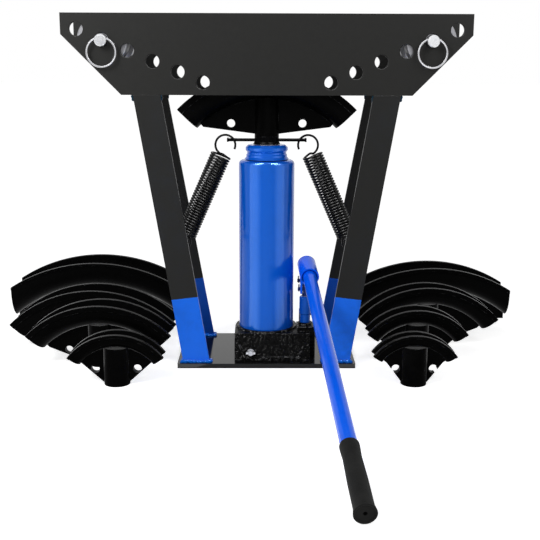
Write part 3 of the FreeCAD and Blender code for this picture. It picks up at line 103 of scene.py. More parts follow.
def finish_piece(piece, name, angle=40):
    """Names a piece, puts its place into its mesh and shades it smooth up to an angle."""
    pick(piece)
    bpy.ops.object.transform_apply(location=True, rotation=True, scale=True)
    bpy.ops.object.shade_smooth_by_angle(angle=math.radians(angle))
    apply_modifiers(piece)
    piece.name = name
    piece.data.name = name
    print(f"{name}: {len(piece.data.polygons)} faces")
    return piece


print(sum(part.select_get() for part in parts.values()), "parts come in picked")

# %% [markdown]
# ## How a finish is built
# Each finish is a small tree of shader nodes. Two effects come back in many of them, so they are node
# groups. One looks how sharp the surface turns nearby: paint rubs thin on edges, and a bright line of
# light runs along them. The other gives sprayed paint its skin, the fine waves that make a reflection
# swim, and patches that are a little duller or dustier.

# %% Short hands for shader nodes


def shade(red, green, blue):
    """A colour as a screen shows it, 0 to 255, as the light values that shaders work with."""
    light = [c / 3294.6 if c <= 10 else ((c / 255 + 0.055) / 1.055) ** 2.4 for c in (red, green, blue)]
    return (*light, 1.0)


def put(tree, kind, inputs=None, **settings):
    """Adds a node. An input takes a value, or the output that feeds it."""
    node = tree.nodes.new("ShaderNode" + kind)
    for name, value in settings.items():
        setattr(node, name, value)
    for name, value in (inputs or {}).items():
        if isinstance(value, bpy.types.NodeSocket):
            tree.links.new(value, node.inputs[name])
        else:
            node.inputs[name].default_value = value
    return node


def sum_of(tree, operation, first, second=0.0, third=0.0):
    return put(tree, "Math", {0: first, 1: second, 2: third}, operation=operation).outputs[0]


def spread(tree, value, low, high, to_low=0.0, to_high=1.0):
    """Stretches a stretch of values, low to high, over another, and holds it at the ends."""
    inputs = {"Value": value, "From Min": low, "From Max": high, "To Min": to_low, "To Max": to_high}
    return put(tree, "MapRange", inputs).outputs[0]


def mix_colours(tree, share, first, second, blend_type="MIX"):
    inputs = {0: share, 6: first, 7: second}
    return put(tree, "Mix", inputs, data_type="RGBA", blend_type=blend_type).outputs[2]


def noise(tree, place, scale, detail=2.0, roughness=0.5):
    inputs = {"Vector": place, "Scale": scale, "Detail": detail, "Roughness": roughness}
    return put(tree, "TexNoise", inputs).outputs[0]


def own_place(tree):
    """The point's own coordinates on the piece, in metres."""
    return put(tree, "TexCoord").outputs["Object"]


print("middle grey on a screen is", round(shade(128, 128, 128)[0], 3), "as light")

# %% Short hands for a group of nodes


def new_group(name, inputs, outputs):
    """A group with number inputs and their first values, and outputs of the kinds named."""
    group = bpy.data.node_groups.new(name, "ShaderNodeTree")
    for label, value in inputs.items():
        socket = group.interface.new_socket(label, in_out="INPUT", socket_type="NodeSocketFloat")
        socket.default_value = value
    for label, kind in outputs.items():
        group.interface.new_socket(label, in_out="OUTPUT", socket_type="NodeSocket" + kind)
    return group, group.nodes.new("NodeGroupInput"), group.nodes.new("NodeGroupOutput")


def place_group(tree, group, inputs):
    node = tree.nodes.new("ShaderNodeGroup")
    node.node_tree = group
    for name, value in inputs.items():
        node.inputs[name].default_value = value
    return node


# %% Rubbed edges
EDGE_RAYS = 6
FLAT_TURN = 0.97
SHARP_TURN = 0.78
EDGES, edges_in, edges_out = new_group(
    "Rubbed edges", {"Width": 0.001, "Patch size": 90.0}, {"Rubbed": "Float", "Normal": "Vector"})
rounded = put(EDGES, "Bevel", {"Radius": edges_in.outputs["Width"]}, samples=EDGE_RAYS)
surface = put(EDGES, "NewGeometry")
both_ways = {0: rounded.outputs[0], 1: surface.outputs["Normal"]}
turn = put(EDGES, "VectorMath", both_ways, operation="DOT_PRODUCT")
sharp = spread(EDGES, turn.outputs["Value"], FLAT_TURN, SHARP_TURN)
patches = noise(EDGES, own_place(EDGES), edges_in.outputs["Patch size"], 4.0, 0.65)
rubbed = sum_of(EDGES, "MULTIPLY", sharp, spread(EDGES, patches, 0.50, 0.62))
EDGES.links.new(rubbed, edges_out.inputs["Rubbed"])
EDGES.links.new(rounded.outputs[0], edges_out.inputs["Normal"])
print("effect:", EDGES.name)

# %% Sprayed skin
# The four sizes say how many of each fit in a metre.
FINE_WAVES = 1500.0
CLOUDS = 9.0
SMEARS = 55.0
DUST_GRAINS = 700.0
FINE_SHARE = 0.25
SKIN, skin_in, skin_out = new_group(
    "Sprayed skin", {"Wave size": 260.0, "Dust": 0.5},
    {"Height": "Float", "Dull": "Float", "Dusty": "Float"})
spot = own_place(SKIN)
waves = noise(SKIN, spot, skin_in.outputs["Wave size"], 2.0, 0.4)
fine = noise(SKIN, spot, FINE_WAVES, 1.0)
height = sum_of(SKIN, "MULTIPLY_ADD", fine, FINE_SHARE, waves)
clouds = noise(SKIN, spot, CLOUDS, 5.0, 0.6)
smears = noise(SKIN, spot, SMEARS, 3.0, 0.7)
dull = sum_of(SKIN, "MULTIPLY", spread(SKIN, clouds, 0.35, 0.7), spread(SKIN, smears, 0.3, 0.75))
grains = noise(SKIN, spot, DUST_GRAINS, 2.0, 0.8)
upward = put(SKIN, "SeparateXYZ", {0: put(SKIN, "NewGeometry").outputs["Normal"]}).outputs["Z"]
facing_up = spread(SKIN, upward, 0.2, 0.9, 0.15, 1.0)
settled = sum_of(SKIN, "MULTIPLY", facing_up, spread(SKIN, grains, 0.55, 0.7))
dusty = sum_of(SKIN, "MULTIPLY", settled, skin_in.outputs["Dust"])
for name, output in (("Height", height), ("Dull", dull), ("Dusty", dusty)):
    SKIN.links.new(output, skin_out.inputs[name])
print("effect:", SKIN.name)

# %% [markdown]
# ## Paint
# Most of the bender is painted steel. The black of the frame is a satin powder coat, baked on as a dry
# powder, with a slightly pebbled skin. The blue of the jack and the feet is a wet gloss enamel. Both are
# the same tree: base colour, a little darker and bluer or greyer in clouds, thin at the edges, with dust
# on what faces up. Only the numbers differ, so one function makes them all.

# %% A function for painted steel
STEEL_GREY = shade(118, 118, 120)
DUST_GREY = shade(150, 148, 144)
WHITE = (1, 1, 1, 1)
RUB_PATCHES = 90.0
TWO_COLOUR_CLOUDS = 0.35
DUST_COVER = 0.12
DUST_ROUGHNESS = 0.15
COAT_ROUGHNESS = 0.06


def new_material(name):
    material = bpy.data.materials.new(name)
    material.use_nodes = True
    tree = material.node_tree
    shader = tree.nodes["Principled BSDF"]
    return material, tree, shader


def set_plain(shader, **values):
    """Sets numbers or colours that are the same all over the surface."""
    for name, value in values.items():
        shader.inputs[name.replace("_", " ")].default_value = value


def paint(name, colour, deep, roughness, dull=0.12, wave=260.0, bump=0.00002, coat=0.0, rubbed=0.35,
          dust=0.5, rounding=0.0008, shine=0.5, tint=WHITE, colour_of=None):
    """Painted steel. colour_of may give the base colour as a function of the tree."""
    material, tree, shader = new_material(name)
    skin = place_group(tree, SKIN, {"Wave size": wave, "Dust": dust})
    edges = place_group(tree, EDGES, {"Width": rounding, "Patch size": RUB_PATCHES})
    base, clouds = colour, skin.outputs["Dull"]
    if colour_of:
        base = colour_of(tree)
        clouds = sum_of(tree, "MULTIPLY", clouds, TWO_COLOUR_CLOUDS)
    clouded = mix_colours(tree, clouds, base, deep)
    thin = sum_of(tree, "MULTIPLY", edges.outputs["Rubbed"], rubbed)
    worn = mix_colours(tree, thin, clouded, STEEL_GREY)
    settled_dust = sum_of(tree, "MULTIPLY", skin.outputs["Dusty"], DUST_COVER)
    dusted = mix_colours(tree, settled_dust, worn, DUST_GREY)
    tree.links.new(dusted, shader.inputs["Base Color"])
    rough = sum_of(tree, "MULTIPLY_ADD", skin.outputs["Dull"], dull, roughness)
    rougher = sum_of(tree, "MULTIPLY_ADD", skin.outputs["Dusty"], DUST_ROUGHNESS, rough)
    tree.links.new(rougher, shader.inputs["Roughness"])
    relief = put(tree, "Bump", {"Height": skin.outputs["Height"], "Normal": edges.outputs["Normal"],
                                "Distance": bump, "Strength": 1.0})
    tree.links.new(relief.outputs[0], shader.inputs["Normal"])
    set_plain(shader, Coat_Weight=coat, Coat_Roughness=COAT_ROUGHNESS, Specular_IOR_Level=shine,
              Specular_Tint=tint)
    return material


print("bare steel under the paint:", [round(part, 3) for part in STEEL_GREY[:3]])

# %% [markdown]
# The legs carry both paints, blue at the foot and black above. The line between them lies square to each
# leaning leg, so it isn't level. The tree finds it from the point's own place: the height, and a share of
# how far out from the leg's middle it lies.

# %% The black frame and its blue feet
FRAME_BLACK = shade(36, 36, 35)
FOOT_BLUE = shade(26, 108, 234)
FOOT_LINE = 0.1330
FOOT_SLOPE = 0.115
LEG_MIDDLE = 0.157
RAGGED_WAVES = 180.0
RAGGED_DEPTH = 0.0008


def leg_colours(tree):
    place = put(tree, "SeparateXYZ", {0: own_place(tree)})
    out = sum_of(tree, "SUBTRACT", sum_of(tree, "ABSOLUTE", place.outputs["X"]), LEG_MIDDLE)
    line = sum_of(tree, "MULTIPLY_ADD", out, FOOT_SLOPE, place.outputs["Z"])
    ragged = sum_of(tree, "MULTIPLY_ADD", noise(tree, own_place(tree), RAGGED_WAVES), RAGGED_DEPTH, line)
    black = spread(tree, ragged, FOOT_LINE, FOOT_LINE + RAGGED_DEPTH)
    return mix_colours(tree, black, FOOT_BLUE, FRAME_BLACK)


plate_paint = paint("Black powder coat", FRAME_BLACK, shade(27, 27, 26), 0.42, wave=420.0, bump=0.00005,
                    dust=0.3, shine=0.05)
leg_paint = paint("Black powder coat over blue feet", FRAME_BLACK, shade(26, 32, 44), 0.34, wave=420.0,
                  bump=0.00004, dust=0.3, shine=0.05, colour_of=leg_colours)
deck_paint = paint("Glossy black floor plate", shade(5, 5, 6), shade(9, 9, 10), 0.08, dull=0.08, wave=120.0,
                   bump=0.000015, dust=0.8, shine=0.18)
print("paints for the frame:", plate_paint.name, leg_paint.name, deck_paint.name)

# %% [markdown]
# The enamels are smoother than the powder coat, and their waves are longer. The tank and the handle are two
# blues of unlike depth. The pump has the tank's blue made darker, a painted shade from the handle above it,
# and the link between them is blue made darker to nearly navy, a painted shade too. The tank, the pump and
# the handle mirror the lamps in blue rather than white, so their shine has a blue tint. The dies and the
# small steel are black, and the dies have the deepest waves. The same function makes them all, with other
# numbers.

# %% Blue enamel and black enamel
LACQUER = (0.22, 0.48, 1.0, 1)
JACK_BLUE = shade(5, 89, 202)
DEEP_BLUE = shade(4, 81, 186)
blue_enamel = paint("Blue enamel", JACK_BLUE, DEEP_BLUE, 0.14, dull=0.06, wave=70.0, bump=0.00005,
                    coat=0.01, rubbed=0.15, dust=0.3, shine=0.6, tint=LACQUER)
# The pump's blue is the tank's blue made darker: painted shade from the handle above it.
shaded_pump_enamel = paint("Blue enamel of the pump with painted shade", shade(4, 76, 176), shade(4, 62, 150), 0.16, dull=0.08,
                    wave=90.0, bump=0.00004, rubbed=0.15, dust=0.3, shine=0.5, tint=LACQUER)
handle_enamel = paint("Blue enamel of the handle", shade(3, 97, 244), shade(3, 83, 220), 0.14, dull=0.08,
                      wave=90.0, bump=0.00003, rubbed=0.15, dust=0.2, shine=0.28, tint=LACQUER)
# The link's nearly navy blue is the jack's blue made darker: painted shade under the handle socket.
shaded_link_enamel = paint("Blue enamel of the link darkened by painted shade", shade(10, 36, 100), shade(8, 26, 72), 0.25, wave=150.0,
                    rubbed=0.3, shine=0.15)
die_enamel = paint("Black enamel of the dies", shade(3, 3, 3), shade(8, 8, 8), 0.20, dull=0.22, wave=150.0,
                   bump=0.00022, rubbed=0.45, dust=0.25, rounding=0.0015, shine=0.015)
arm_enamel = paint("Black enamel of the small steel", shade(4, 4, 5), shade(9, 9, 10), 0.24, wave=200.0,
                   bump=0.00004, rubbed=0.4, dust=0.25, shine=0.02)
enamels = (blue_enamel, shaded_pump_enamel, handle_enamel, shaded_link_enamel, die_enamel, arm_enamel)
print("enamels:", [finish.name for finish in enamels])

# %% [markdown]
# The jack's base was cast in sand, and its black enamel only covers the grains. A close look shows lumps
# of a few millimetres with pits between, and a wet gleam on each lump. Two sizes of noise give the lumps
# and the grains, and cells give the pits.

# %% The sand casting
SAND_LUMPS = 170.0
SAND_GRAINS = 900.0
SAND_PITS = 300.0
GRAIN_SHARE = 0.10
PIT_SHARE = 0.22
# The rubbed edges are wide and strong: partly wear, partly a painted highlight along the cast ridges.
CAST_EDGE = 0.0022
CAST_WEAR_AND_HIGHLIGHT = 0.7
CAST_DEPTH = 0.0024
CAST_PATCHES = 160.0
CAST_SHINE = 0.035


def cast_iron(name):
    material, tree, shader = new_material(name)
    edges = place_group(tree, EDGES, {"Width": CAST_EDGE, "Patch size": CAST_PATCHES})
    place = own_place(tree)
    lumps = noise(tree, place, SAND_LUMPS, 2.0, 0.5)
    grains = noise(tree, place, SAND_GRAINS, 2.0, 0.6)
    pits = put(tree, "TexVoronoi", {"Vector": place, "Scale": SAND_PITS}, feature="F1").outputs["Distance"]
    rise = sum_of(tree, "MULTIPLY_ADD", grains, GRAIN_SHARE, lumps)
    relief_height = sum_of(tree, "MULTIPLY_ADD", spread(tree, pits, 0.0, 0.35), PIT_SHARE, rise)
    black = mix_colours(tree, spread(tree, lumps, 0.35, 0.7), shade(1, 1, 1), shade(5, 5, 5))
    # Bare grey steel on the edges: wear, and partly a painted highlight that makes the ridges show as light
    # lines.
    thin = sum_of(tree, "MULTIPLY", edges.outputs["Rubbed"], CAST_WEAR_AND_HIGHLIGHT)
    worn = mix_colours(tree, thin, black, STEEL_GREY)
    tree.links.new(worn, shader.inputs["Base Color"])
    tree.links.new(spread(tree, grains, 0.3, 0.7, 0.08, 0.22), shader.inputs["Roughness"])
    relief = put(tree, "Bump", {"Height": relief_height, "Normal": edges.outputs["Normal"],
                                "Distance": CAST_DEPTH, "Strength": 0.9})
    tree.links.new(relief.outputs[0], shader.inputs["Normal"])
    set_plain(shader, Specular_IOR_Level=CAST_SHINE)
    return material


casting = cast_iron("Black enamel on the sand casting")
print("casting:", casting.name)

# %% [markdown]
# ## Bare metal, rubber and foam
# The pins, rings and the valve are plated and bright. Plating shows what the lathe left under it: fine
# lines round the axis. On a turned part the lines come from the distance along its axis, cut into many
# thin bands of unlike height. Rubber and foam have no shine, only a skin.

# %% A function for turned and plated metal
METAL_EDGE = 0.0006
METAL_PATCHES = 120.0
METAL_CLOUDS = 70.0
METAL_STAIN = 0.5
BAND_SHARE = 0.25
DULLER = 0.16


def bare_metal(name, colour, dark, roughness, axis="Y", lines=2600.0, bump=0.00001):
    """Turned metal whose lines lie across the axis, so many to the metre."""
    material, tree, shader = new_material(name)
    edges = place_group(tree, EDGES, {"Width": METAL_EDGE, "Patch size": METAL_PATCHES})
    place = own_place(tree)
    along = put(tree, "SeparateXYZ", {0: place}).outputs[axis]
    turned = {"W": sum_of(tree, "MULTIPLY", along, lines), "Scale": 1.0, "Detail": 3.0}
    bands = put(tree, "TexNoise", turned, noise_dimensions="1D").outputs[0]
    clouds = noise(tree, place, METAL_CLOUDS, 5.0, 0.65)
    stained = sum_of(tree, "MULTIPLY", spread(tree, clouds, 0.45, 0.75), METAL_STAIN)
    tone = mix_colours(tree, stained, colour, dark)
    lined = mix_colours(tree, sum_of(tree, "MULTIPLY", bands, BAND_SHARE), tone, dark)
    tree.links.new(lined, shader.inputs["Base Color"])
    rough = spread(tree, clouds, 0.3, 0.75, roughness, roughness + DULLER)
    tree.links.new(rough, shader.inputs["Roughness"])
    relief = put(tree, "Bump", {"Height": bands, "Normal": edges.outputs["Normal"],
                                "Distance": bump, "Strength": 1.0})
    tree.links.new(relief.outputs[0], shader.inputs["Normal"])
    set_plain(shader, Metallic=1.0)
    return material


zinc = bare_metal("Bright zinc on the pins", shade(244, 245, 247), shade(198, 200, 204), 0.20)
ring_plate = bare_metal("Polished nickel on the rings", shade(232, 232, 235), shade(176, 177, 181), 0.14,
                        lines=900.0)
STEEL_PALE = shade(196, 197, 200)
STEEL_DARK = shade(140, 141, 145)
turned_steel = bare_metal("Turned steel", STEEL_PALE, STEEL_DARK, 0.16, axis="Z")
roller_steel = bare_metal("Dark turned steel of the rollers", shade(172, 172, 176), shade(114, 114, 118),
                          0.30, lines=1500.0, bump=0.00003)
bolt_steel = bare_metal("Blackened steel of the bolts", shade(70, 70, 74), shade(44, 44, 48), 0.35,
                        axis="Z")
valve_steel = bare_metal("Dull steel of the release valve", shade(204, 205, 209), shade(110, 111, 115),
                         0.20)
clip_steel = bare_metal("Dark blue steel of the clips", shade(40, 52, 92), shade(24, 30, 56), 0.30,
                        lines=900.0)
metals = (zinc, ring_plate, turned_steel, roller_steel, bolt_steel, valve_steel, clip_steel)
print("metals:", [finish.name for finish in metals])

# %% [markdown]
# The plunger needs a metal and a paint: it is turned steel inside the pump, and the tang that stands out of
# it is blue like the link, made darker to navy as painted shade. One tree holds both, and the height of the
# point says which of them shows.

# %% The plunger and its painted tang
PUMP_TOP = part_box("pump_cylinder")[1][2] + 0.0005
PAINT_EDGE = 0.0006


def tang_finish():
    """The plunger: turned steel below, and the link's blue, darkened as painted shade, where its tang
    stands out of the pump.
    """
    material, tree, shader = new_material("Turned plunger with a painted tang")
    place = own_place(tree)
    height = put(tree, "SeparateXYZ", {0: place}).outputs["Z"]
    painted_tang = spread(tree, height, PUMP_TOP, PUMP_TOP + PAINT_EDGE)
    clouds = noise(tree, place, METAL_CLOUDS, 5.0, 0.65)
    steel = mix_colours(tree, clouds, STEEL_PALE, STEEL_DARK)
    # The tang's navy is blue made darker: painted shade.
    enamel = mix_colours(tree, clouds, shade(8, 46, 124), shade(6, 30, 84))
    tree.links.new(mix_colours(tree, painted_tang, steel, enamel), shader.inputs["Base Color"])
    tree.links.new(sum_of(tree, "SUBTRACT", 1.0, painted_tang), shader.inputs["Metallic"])
    tree.links.new(spread(tree, clouds, 0.3, 0.75, 0.18, 0.32), shader.inputs["Roughness"])
    set_plain(shader, Specular_IOR_Level=0.15)
    return material


plunger_finish = tang_finish()
print("the plunger's paint starts at", round(PUMP_TOP * 1000, 1), "mm")

# %% Rubber and foam
SOFT_CLOUDS = 38.0
FINER = 1.7


def soft_skin(name, colour, pale, roughness, cell, depth, sheen=0.0):
    """Rubber or closed foam: a matt skin of tiny cells, rubbed paler in clouds."""
    material, tree, shader = new_material(name)
    place = own_place(tree)
    cells = put(tree, "TexVoronoi", {"Vector": place, "Scale": cell}, feature="SMOOTH_F1")
    clouds = noise(tree, place, SOFT_CLOUDS, 5.0, 0.6)
    grains = noise(tree, place, cell * FINER, 2.0)
    tone = mix_colours(tree, spread(tree, clouds, 0.35, 0.75), colour, pale)
    speckled = mix_colours(tree, spread(tree, grains, 0.5, 0.8, 0.0, 0.5), tone, pale)
    tree.links.new(speckled, shader.inputs["Base Color"])
    tree.links.new(spread(tree, grains, 0.2, 0.8, roughness, roughness + 0.2), shader.inputs["Roughness"])
    rise = sum_of(tree, "MULTIPLY_ADD", grains, 0.6, cells.outputs["Distance"])
    relief = put(tree, "Bump", {"Height": rise, "Distance": depth, "Strength": 0.8})
    tree.links.new(relief.outputs[0], shader.inputs["Normal"])
    set_plain(shader, Sheen_Weight=sheen, Sheen_Roughness=0.5, Specular_IOR_Level=0.12)
    return material


rubber = soft_skin("Seal rubber", shade(24, 24, 24), shade(36, 36, 36), 0.5, 1400.0, 0.00005)
foam = soft_skin("Foam of the grip", shade(17, 17, 17), shade(31, 31, 30), 0.66, 900.0, 0.00022, sheen=0.02)
print("soft skins:", rubber.name, foam.name)

# %% [markdown]
# ## Who gets which finish
# The drawing already names a slot of material for every part. The table below names the finish of each
# group of parts, and a part that needs its own finish has its own line. Springs, beads and the grip come
# later, as pieces of their own.

# %% Paint the parts
FINISHES = {
    plate_paint: ["front_beam_plate", "rear_beam_plate"],
    leg_paint: [name for name in parts if name.startswith("leg_")] + ["weld_beads"],
    deck_paint: ["base_plate"],
    casting: ["jack_base"],
    blue_enamel: ["reservoir_tube", "tank_nut"],
    shaded_pump_enamel: ["pump_cylinder"],
    handle_enamel: ["handle_socket", "handle_tube"],
    shaded_link_enamel: ["pump_link", "link_pin", "fulcrum_pin", "plunger_pin"],
    die_enamel: [name for name in parts if name.endswith("_die") or name.startswith("loose_die")],
    arm_enamel: ["spring_collar", "spring_arm_left", "spring_arm_right", "duct_plug",
                 "return_spring_left", "return_spring_right"],
    zinc: ["roller_pin_left", "roller_pin_right", "spring_anchor_left", "spring_anchor_right"],
    valve_steel: ["release_valve"],
    ring_plate: ["pull_ring_left", "pull_ring_right"],
    turned_steel: ["ram", "pressure_cylinder", "check_balls"],
    plunger_finish: ["pump_plunger"],
    roller_steel: ["roller_left", "roller_right"],
    bolt_steel: ["jack_bolts"],
    clip_steel: ["link_clips", "plunger_clip"],
    rubber: ["reservoir_gaskets", "ram_wiper", "piston_seal", "plunger_seal", "oil_filler_plug"],
    foam: ["handle_grip"],
}
painted = set()
for material, names in FINISHES.items():
    for name in names:
        slots = parts[name].material_slots
        if not slots:
            parts[name].data.materials.append(material)
        for slot in slots:
            slot.material = material
        painted.add(name)
print("painted", len(painted), "parts; without a finish:", sorted(set(parts) - painted))

# %% [markdown]
# ## The return springs
# When the oil is let go, two long springs pull the ram down again. Each is one wire: a close coil whose
# last turn at either end swings to the middle and goes on as a big open hook. A maker winds it on a
# mandrel, and so does this cell. A circle, the wire's section, is screwed up the coil by the Screw
# modifier, then its end ring is spun on round the bends of the hooks, one arc after another.

# %% Wind the coil
WIRE = 0.0044
COIL_RADIUS = 0.0183
PITCH = 0.0054
HALF_TURNS = 63
COIL_LENGTH = PITCH * HALF_TURNS / 2
STEPS = 14
WIRE_SIDES = 12


def wind_coil():
    pick_nothing()
    bpy.ops.mesh.primitive_circle_add(vertices=WIRE_SIDES, radius=WIRE / 2, location=(COIL_RADIUS, 0, 0),
                                      rotation=(math.pi / 2, 0, 0))
    wire = bpy.context.object
    bpy.ops.object.transform_apply(location=True, rotation=True, scale=True)
    screw = wire.modifiers.new("Coil", "SCREW")
    screw.axis = "Z"
    screw.angle = -math.pi
    screw.screw_offset = PITCH / 2
    screw.iterations = HALF_TURNS
    screw.steps = screw.render_steps = STEPS
    apply_modifiers(wire)
    return wire


coil = wind_coil()
print("coil:", len(coil.data.polygons), "faces,", round(COIL_LENGTH * 1000, 1), "mm long")

# %% [markdown]
# A bend between two directions is two arcs that meet at a tangent, the way a wire bends over two pegs.
# Spin extrudes the picked ring round a centre and axis, so every arc needs only those and an angle. It
# leaves the new end picked, ready for the next arc.

# %% Spin an arc of wire
BEND_STEP = math.radians(13)


def two_arcs(start, leave, end, arrive):
    """The point where two arcs meet on the way from one point and direction to another."""
    gap, both = end - start, leave + arrive
    square = 2 * (leave.dot(arrive) - 1)
    if abs(square) < 1e-9:
        reach = gap.dot(gap) / (2 * gap.dot(both))
    else:
        half = -2 * gap.dot(both)
        reach = (-half - math.sqrt(half * half - 4 * square * gap.dot(gap))) / (2 * square)
    return (start + leave * reach + end - arrive * reach) / 2


def spin_wire(start, leave, end):
    """Spins the picked end of the wire along the arc that leaves start in a direction and reaches end."""
    chord = end - start
    axis = leave.cross(chord).normalized()
    angle = 2 * leave.angle(chord)
    centre = start + axis.cross(leave) * (chord.length / 2 / math.sin(angle / 2))
    steps = max(2, round(angle / BEND_STEP))
    bpy.ops.mesh.spin(steps=steps, angle=-angle, center=centre, axis=axis)
    return Matrix.Rotation(angle, 3, axis) @ leave


# %% [markdown]
# A hook is a list of stops: the last turn of the coil first swings in towards the middle, then climbs round
# the open loop. Each stop has a place and a direction, and the wire is spun from one to the next.

# %% Bend the hooks
LEAD_IN = Vector((-COIL_RADIUS * 0.36, COIL_RADIUS * 0.57, WIRE * 0.75))
LEAD_WAY = Vector((1, 0.1, 0.28))
LOOP_START = -67.5
LOOP_SWEEP = 248.5
LOOP_PARTS = 4
END_BEVEL = WIRE * 0.12
END_CROWN = WIRE * 0.08
END_RING_REACH = WIRE * 0.51
UPPER_HOOK = 0.0193
LOWER_HOOK = 0.0140


def hook_stops(radius):
    """Points and directions of a hook over the coil's end, whose last point is at -X."""
    stops = [(LEAD_IN, LEAD_WAY)]
    for step in range(LOOP_PARTS + 1):
        turn = math.radians(LOOP_START + LOOP_SWEEP * step / LOOP_PARTS)
        spot = Vector((math.cos(turn) * radius, 0, math.sin(turn) * radius + radius + WIRE / 2))
        stops.append((spot, Vector((-math.sin(turn), 0, math.cos(turn)))))
    return [(spot, way.normalized()) for spot, way in stops]


def bend_hook(wire, radius, upper):
    """Bends one end of the coil into a hook. The lower hook is the upper one turned round the Y axis."""
    place = Vector((-COIL_RADIUS, 0, 0))
    way = Vector((0, COIL_RADIUS, PITCH / (2 * math.pi))).normalized()
    shift = Vector((0, 0, COIL_LENGTH)) if upper else Vector()
    turned = Matrix.Identity(3) if upper else Matrix.Rotation(math.pi, 3, "Y")
    edit(wire, "VERT")
    tip = turned @ place + shift
    pick_points(wire, lambda spot: (spot - tip).length < END_RING_REACH)
    for spot, arrive in hook_stops(radius):
        middle = two_arcs(place, way, spot, arrive)
        half_way = spin_wire(turned @ place + shift, turned @ way, turned @ middle + shift)
        spin_wire(turned @ middle + shift, half_way, turned @ spot + shift)
        place, way = spot, arrive
    bpy.ops.mesh.edge_face_add()
    bpy.ops.mesh.select_mode(type="FACE")
    bpy.ops.mesh.inset(thickness=END_BEVEL, depth=END_CROWN)
    bpy.ops.object.mode_set(mode="OBJECT")


bend_hook(coil, UPPER_HOOK, True)
bend_hook(coil, LOWER_HOOK, False)
edit(coil)
bpy.ops.mesh.select_all(action="SELECT")
bpy.ops.mesh.remove_doubles(threshold=0.00001)
bpy.ops.mesh.normals_make_consistent(inside=False)
pick_nothing()
print("spring with both hooks:", len(coil.data.polygons), "faces")

# %% [markdown]
# Both springs are the same piece, so the second is a copy. Each leans from its leg to the end of an arm,
# and is turned there by a matrix whose columns are the spring's own three directions. The springs join the
# frame to the ram.

# %% Hang the springs
SPRING_SLOPE = math.radians(23.9)
HOOK_X = 0.0798
HOOK_Z = 0.417
spring_enamel = paint("Black enamel of the springs", shade(7, 7, 8), shade(12, 12, 13), 0.20, wave=300.0,
                      bump=0.00003, rubbed=0.2, dust=0.3, rounding=0.0004, shine=0.12)


def hang_spring(wire, side, name):
    """Leans a spring on its side of the jack."""
    along = Vector((-side * math.sin(SPRING_SLOPE), 0, math.cos(SPRING_SLOPE)))
    out = Vector((side * math.cos(SPRING_SLOPE), 0, math.sin(SPRING_SLOPE)))
    top = Vector((side * HOOK_X, 0, HOOK_Z)) - along * (UPPER_HOOK + WIRE / 2)
    foot = top - along * COIL_LENGTH
    turn = Matrix((out, along.cross(out), along)).transposed().to_4x4()
    wire.matrix_world = Matrix.Translation(foot) @ turn
    finish_piece(wire, name)
    wire.data.materials.clear()
    wire.data.materials.append(spring_enamel)
    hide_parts(name.replace("coil", "return"))
    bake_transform(wire)


pick(coil)
bpy.ops.object.duplicate()
twin = bpy.context.object
hang_spring(coil, -1, "coil_spring_left")
hang_spring(twin, 1, "coil_spring_right")

# %% [markdown]
# ## Weld beads
# A weld is a row of small overlapping puddles, one for each dab of the torch. The row round a leg's foot
# is thick and a little uneven, and the paint runs over it. One puddle is a squashed ball. The cell sets a
# row of them along each seam, melts them together with a Remesh modifier and smooths the result.

# %% Dab the puddles
random.seed(11)
LEG_WIDTH = 0.0508
LEG_THICK = 0.008
LEG_FOOT_X = 0.160
LEG_TOP_X = 0.247
LEG_FOOT_Y = 0.094
BASE_TOP = 0.009
BEAM_FOOT = 0.513
LEG_LEAN_X = (LEG_TOP_X - LEG_FOOT_X) / (BEAM_FOOT - BASE_TOP)
DAB = 0.0046
SQUASH = (1.0, 1.0, 0.92)
TILT = 0.2
WANDER = 0.22


def dab(spot, size):
    """One puddle of weld, in the mesh that is being edited."""
    tilt = (random.uniform(-TILT, TILT), random.uniform(-TILT, TILT), 0)
    bpy.ops.mesh.primitive_uv_sphere_add(segments=10, ring_count=6, radius=size, location=spot,
                                         scale=SQUASH, rotation=tilt)


def run_of_dabs(start, end, size, spacing):
    """A row of puddles from one point to another, each a little different."""
    start, end = Vector(start), Vector(end)
    count = max(2, round((end - start).length / spacing) + 1)
    for step in range(count):
        spot = start.lerp(end, step / (count - 1))
        wander = Vector((random.uniform(-1, 1), random.uniform(-1, 1), random.uniform(-0.5, 1)))
        grow = random.uniform(0.80, 1.10)
        dab(spot + wander * size * WANDER, size * grow)
    return count


print("a leg leans out by", round(math.degrees(math.atan(LEG_LEAN_X)), 1), "degrees")

# %% [markdown]
# On the weld the leg's paint is made darker and less red than on the leg. It has the leg's own two colours,
# and the line between them, because the same function gives them.

# %% Paint and melt the puddles
BEAD_DARKENING = shade(60, 222, 216)
VOXEL = 0.0008
BEAD_ANGLE = 80


def bead_colours(tree):
    """The leg's two paints, darker and less red on the weld."""
    return mix_colours(tree, 1.0, leg_colours(tree), BEAD_DARKENING, "MULTIPLY")


bead_paint = paint("Paint over the weld", FRAME_BLACK, shade(2, 44, 120), 0.14, dull=0.1, wave=300.0,
                   bump=0.00010, rubbed=0.0, dust=0.1, shine=0.16, tint=LACQUER, colour_of=bead_colours)


def melt(name):
    """Leaves edit mode, melts the puddles into one skin and smooths it."""
    piece = bpy.context.object
    bpy.ops.object.mode_set(mode="OBJECT")
    remesh = piece.modifiers.new("Melt", "REMESH")
    remesh.mode = "VOXEL"
    remesh.voxel_size = VOXEL
    smooth = piece.modifiers.new("Flow", "SMOOTH")
    smooth.factor = 0.5
    smooth.iterations = 2
    apply_modifiers(piece)
    finish_piece(piece, name, BEAD_ANGLE)
    piece.data.materials.clear()
    piece.data.materials.append(bead_paint)
    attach(piece, "frame")
    return piece


print("paint of the weld:", bead_paint.name)

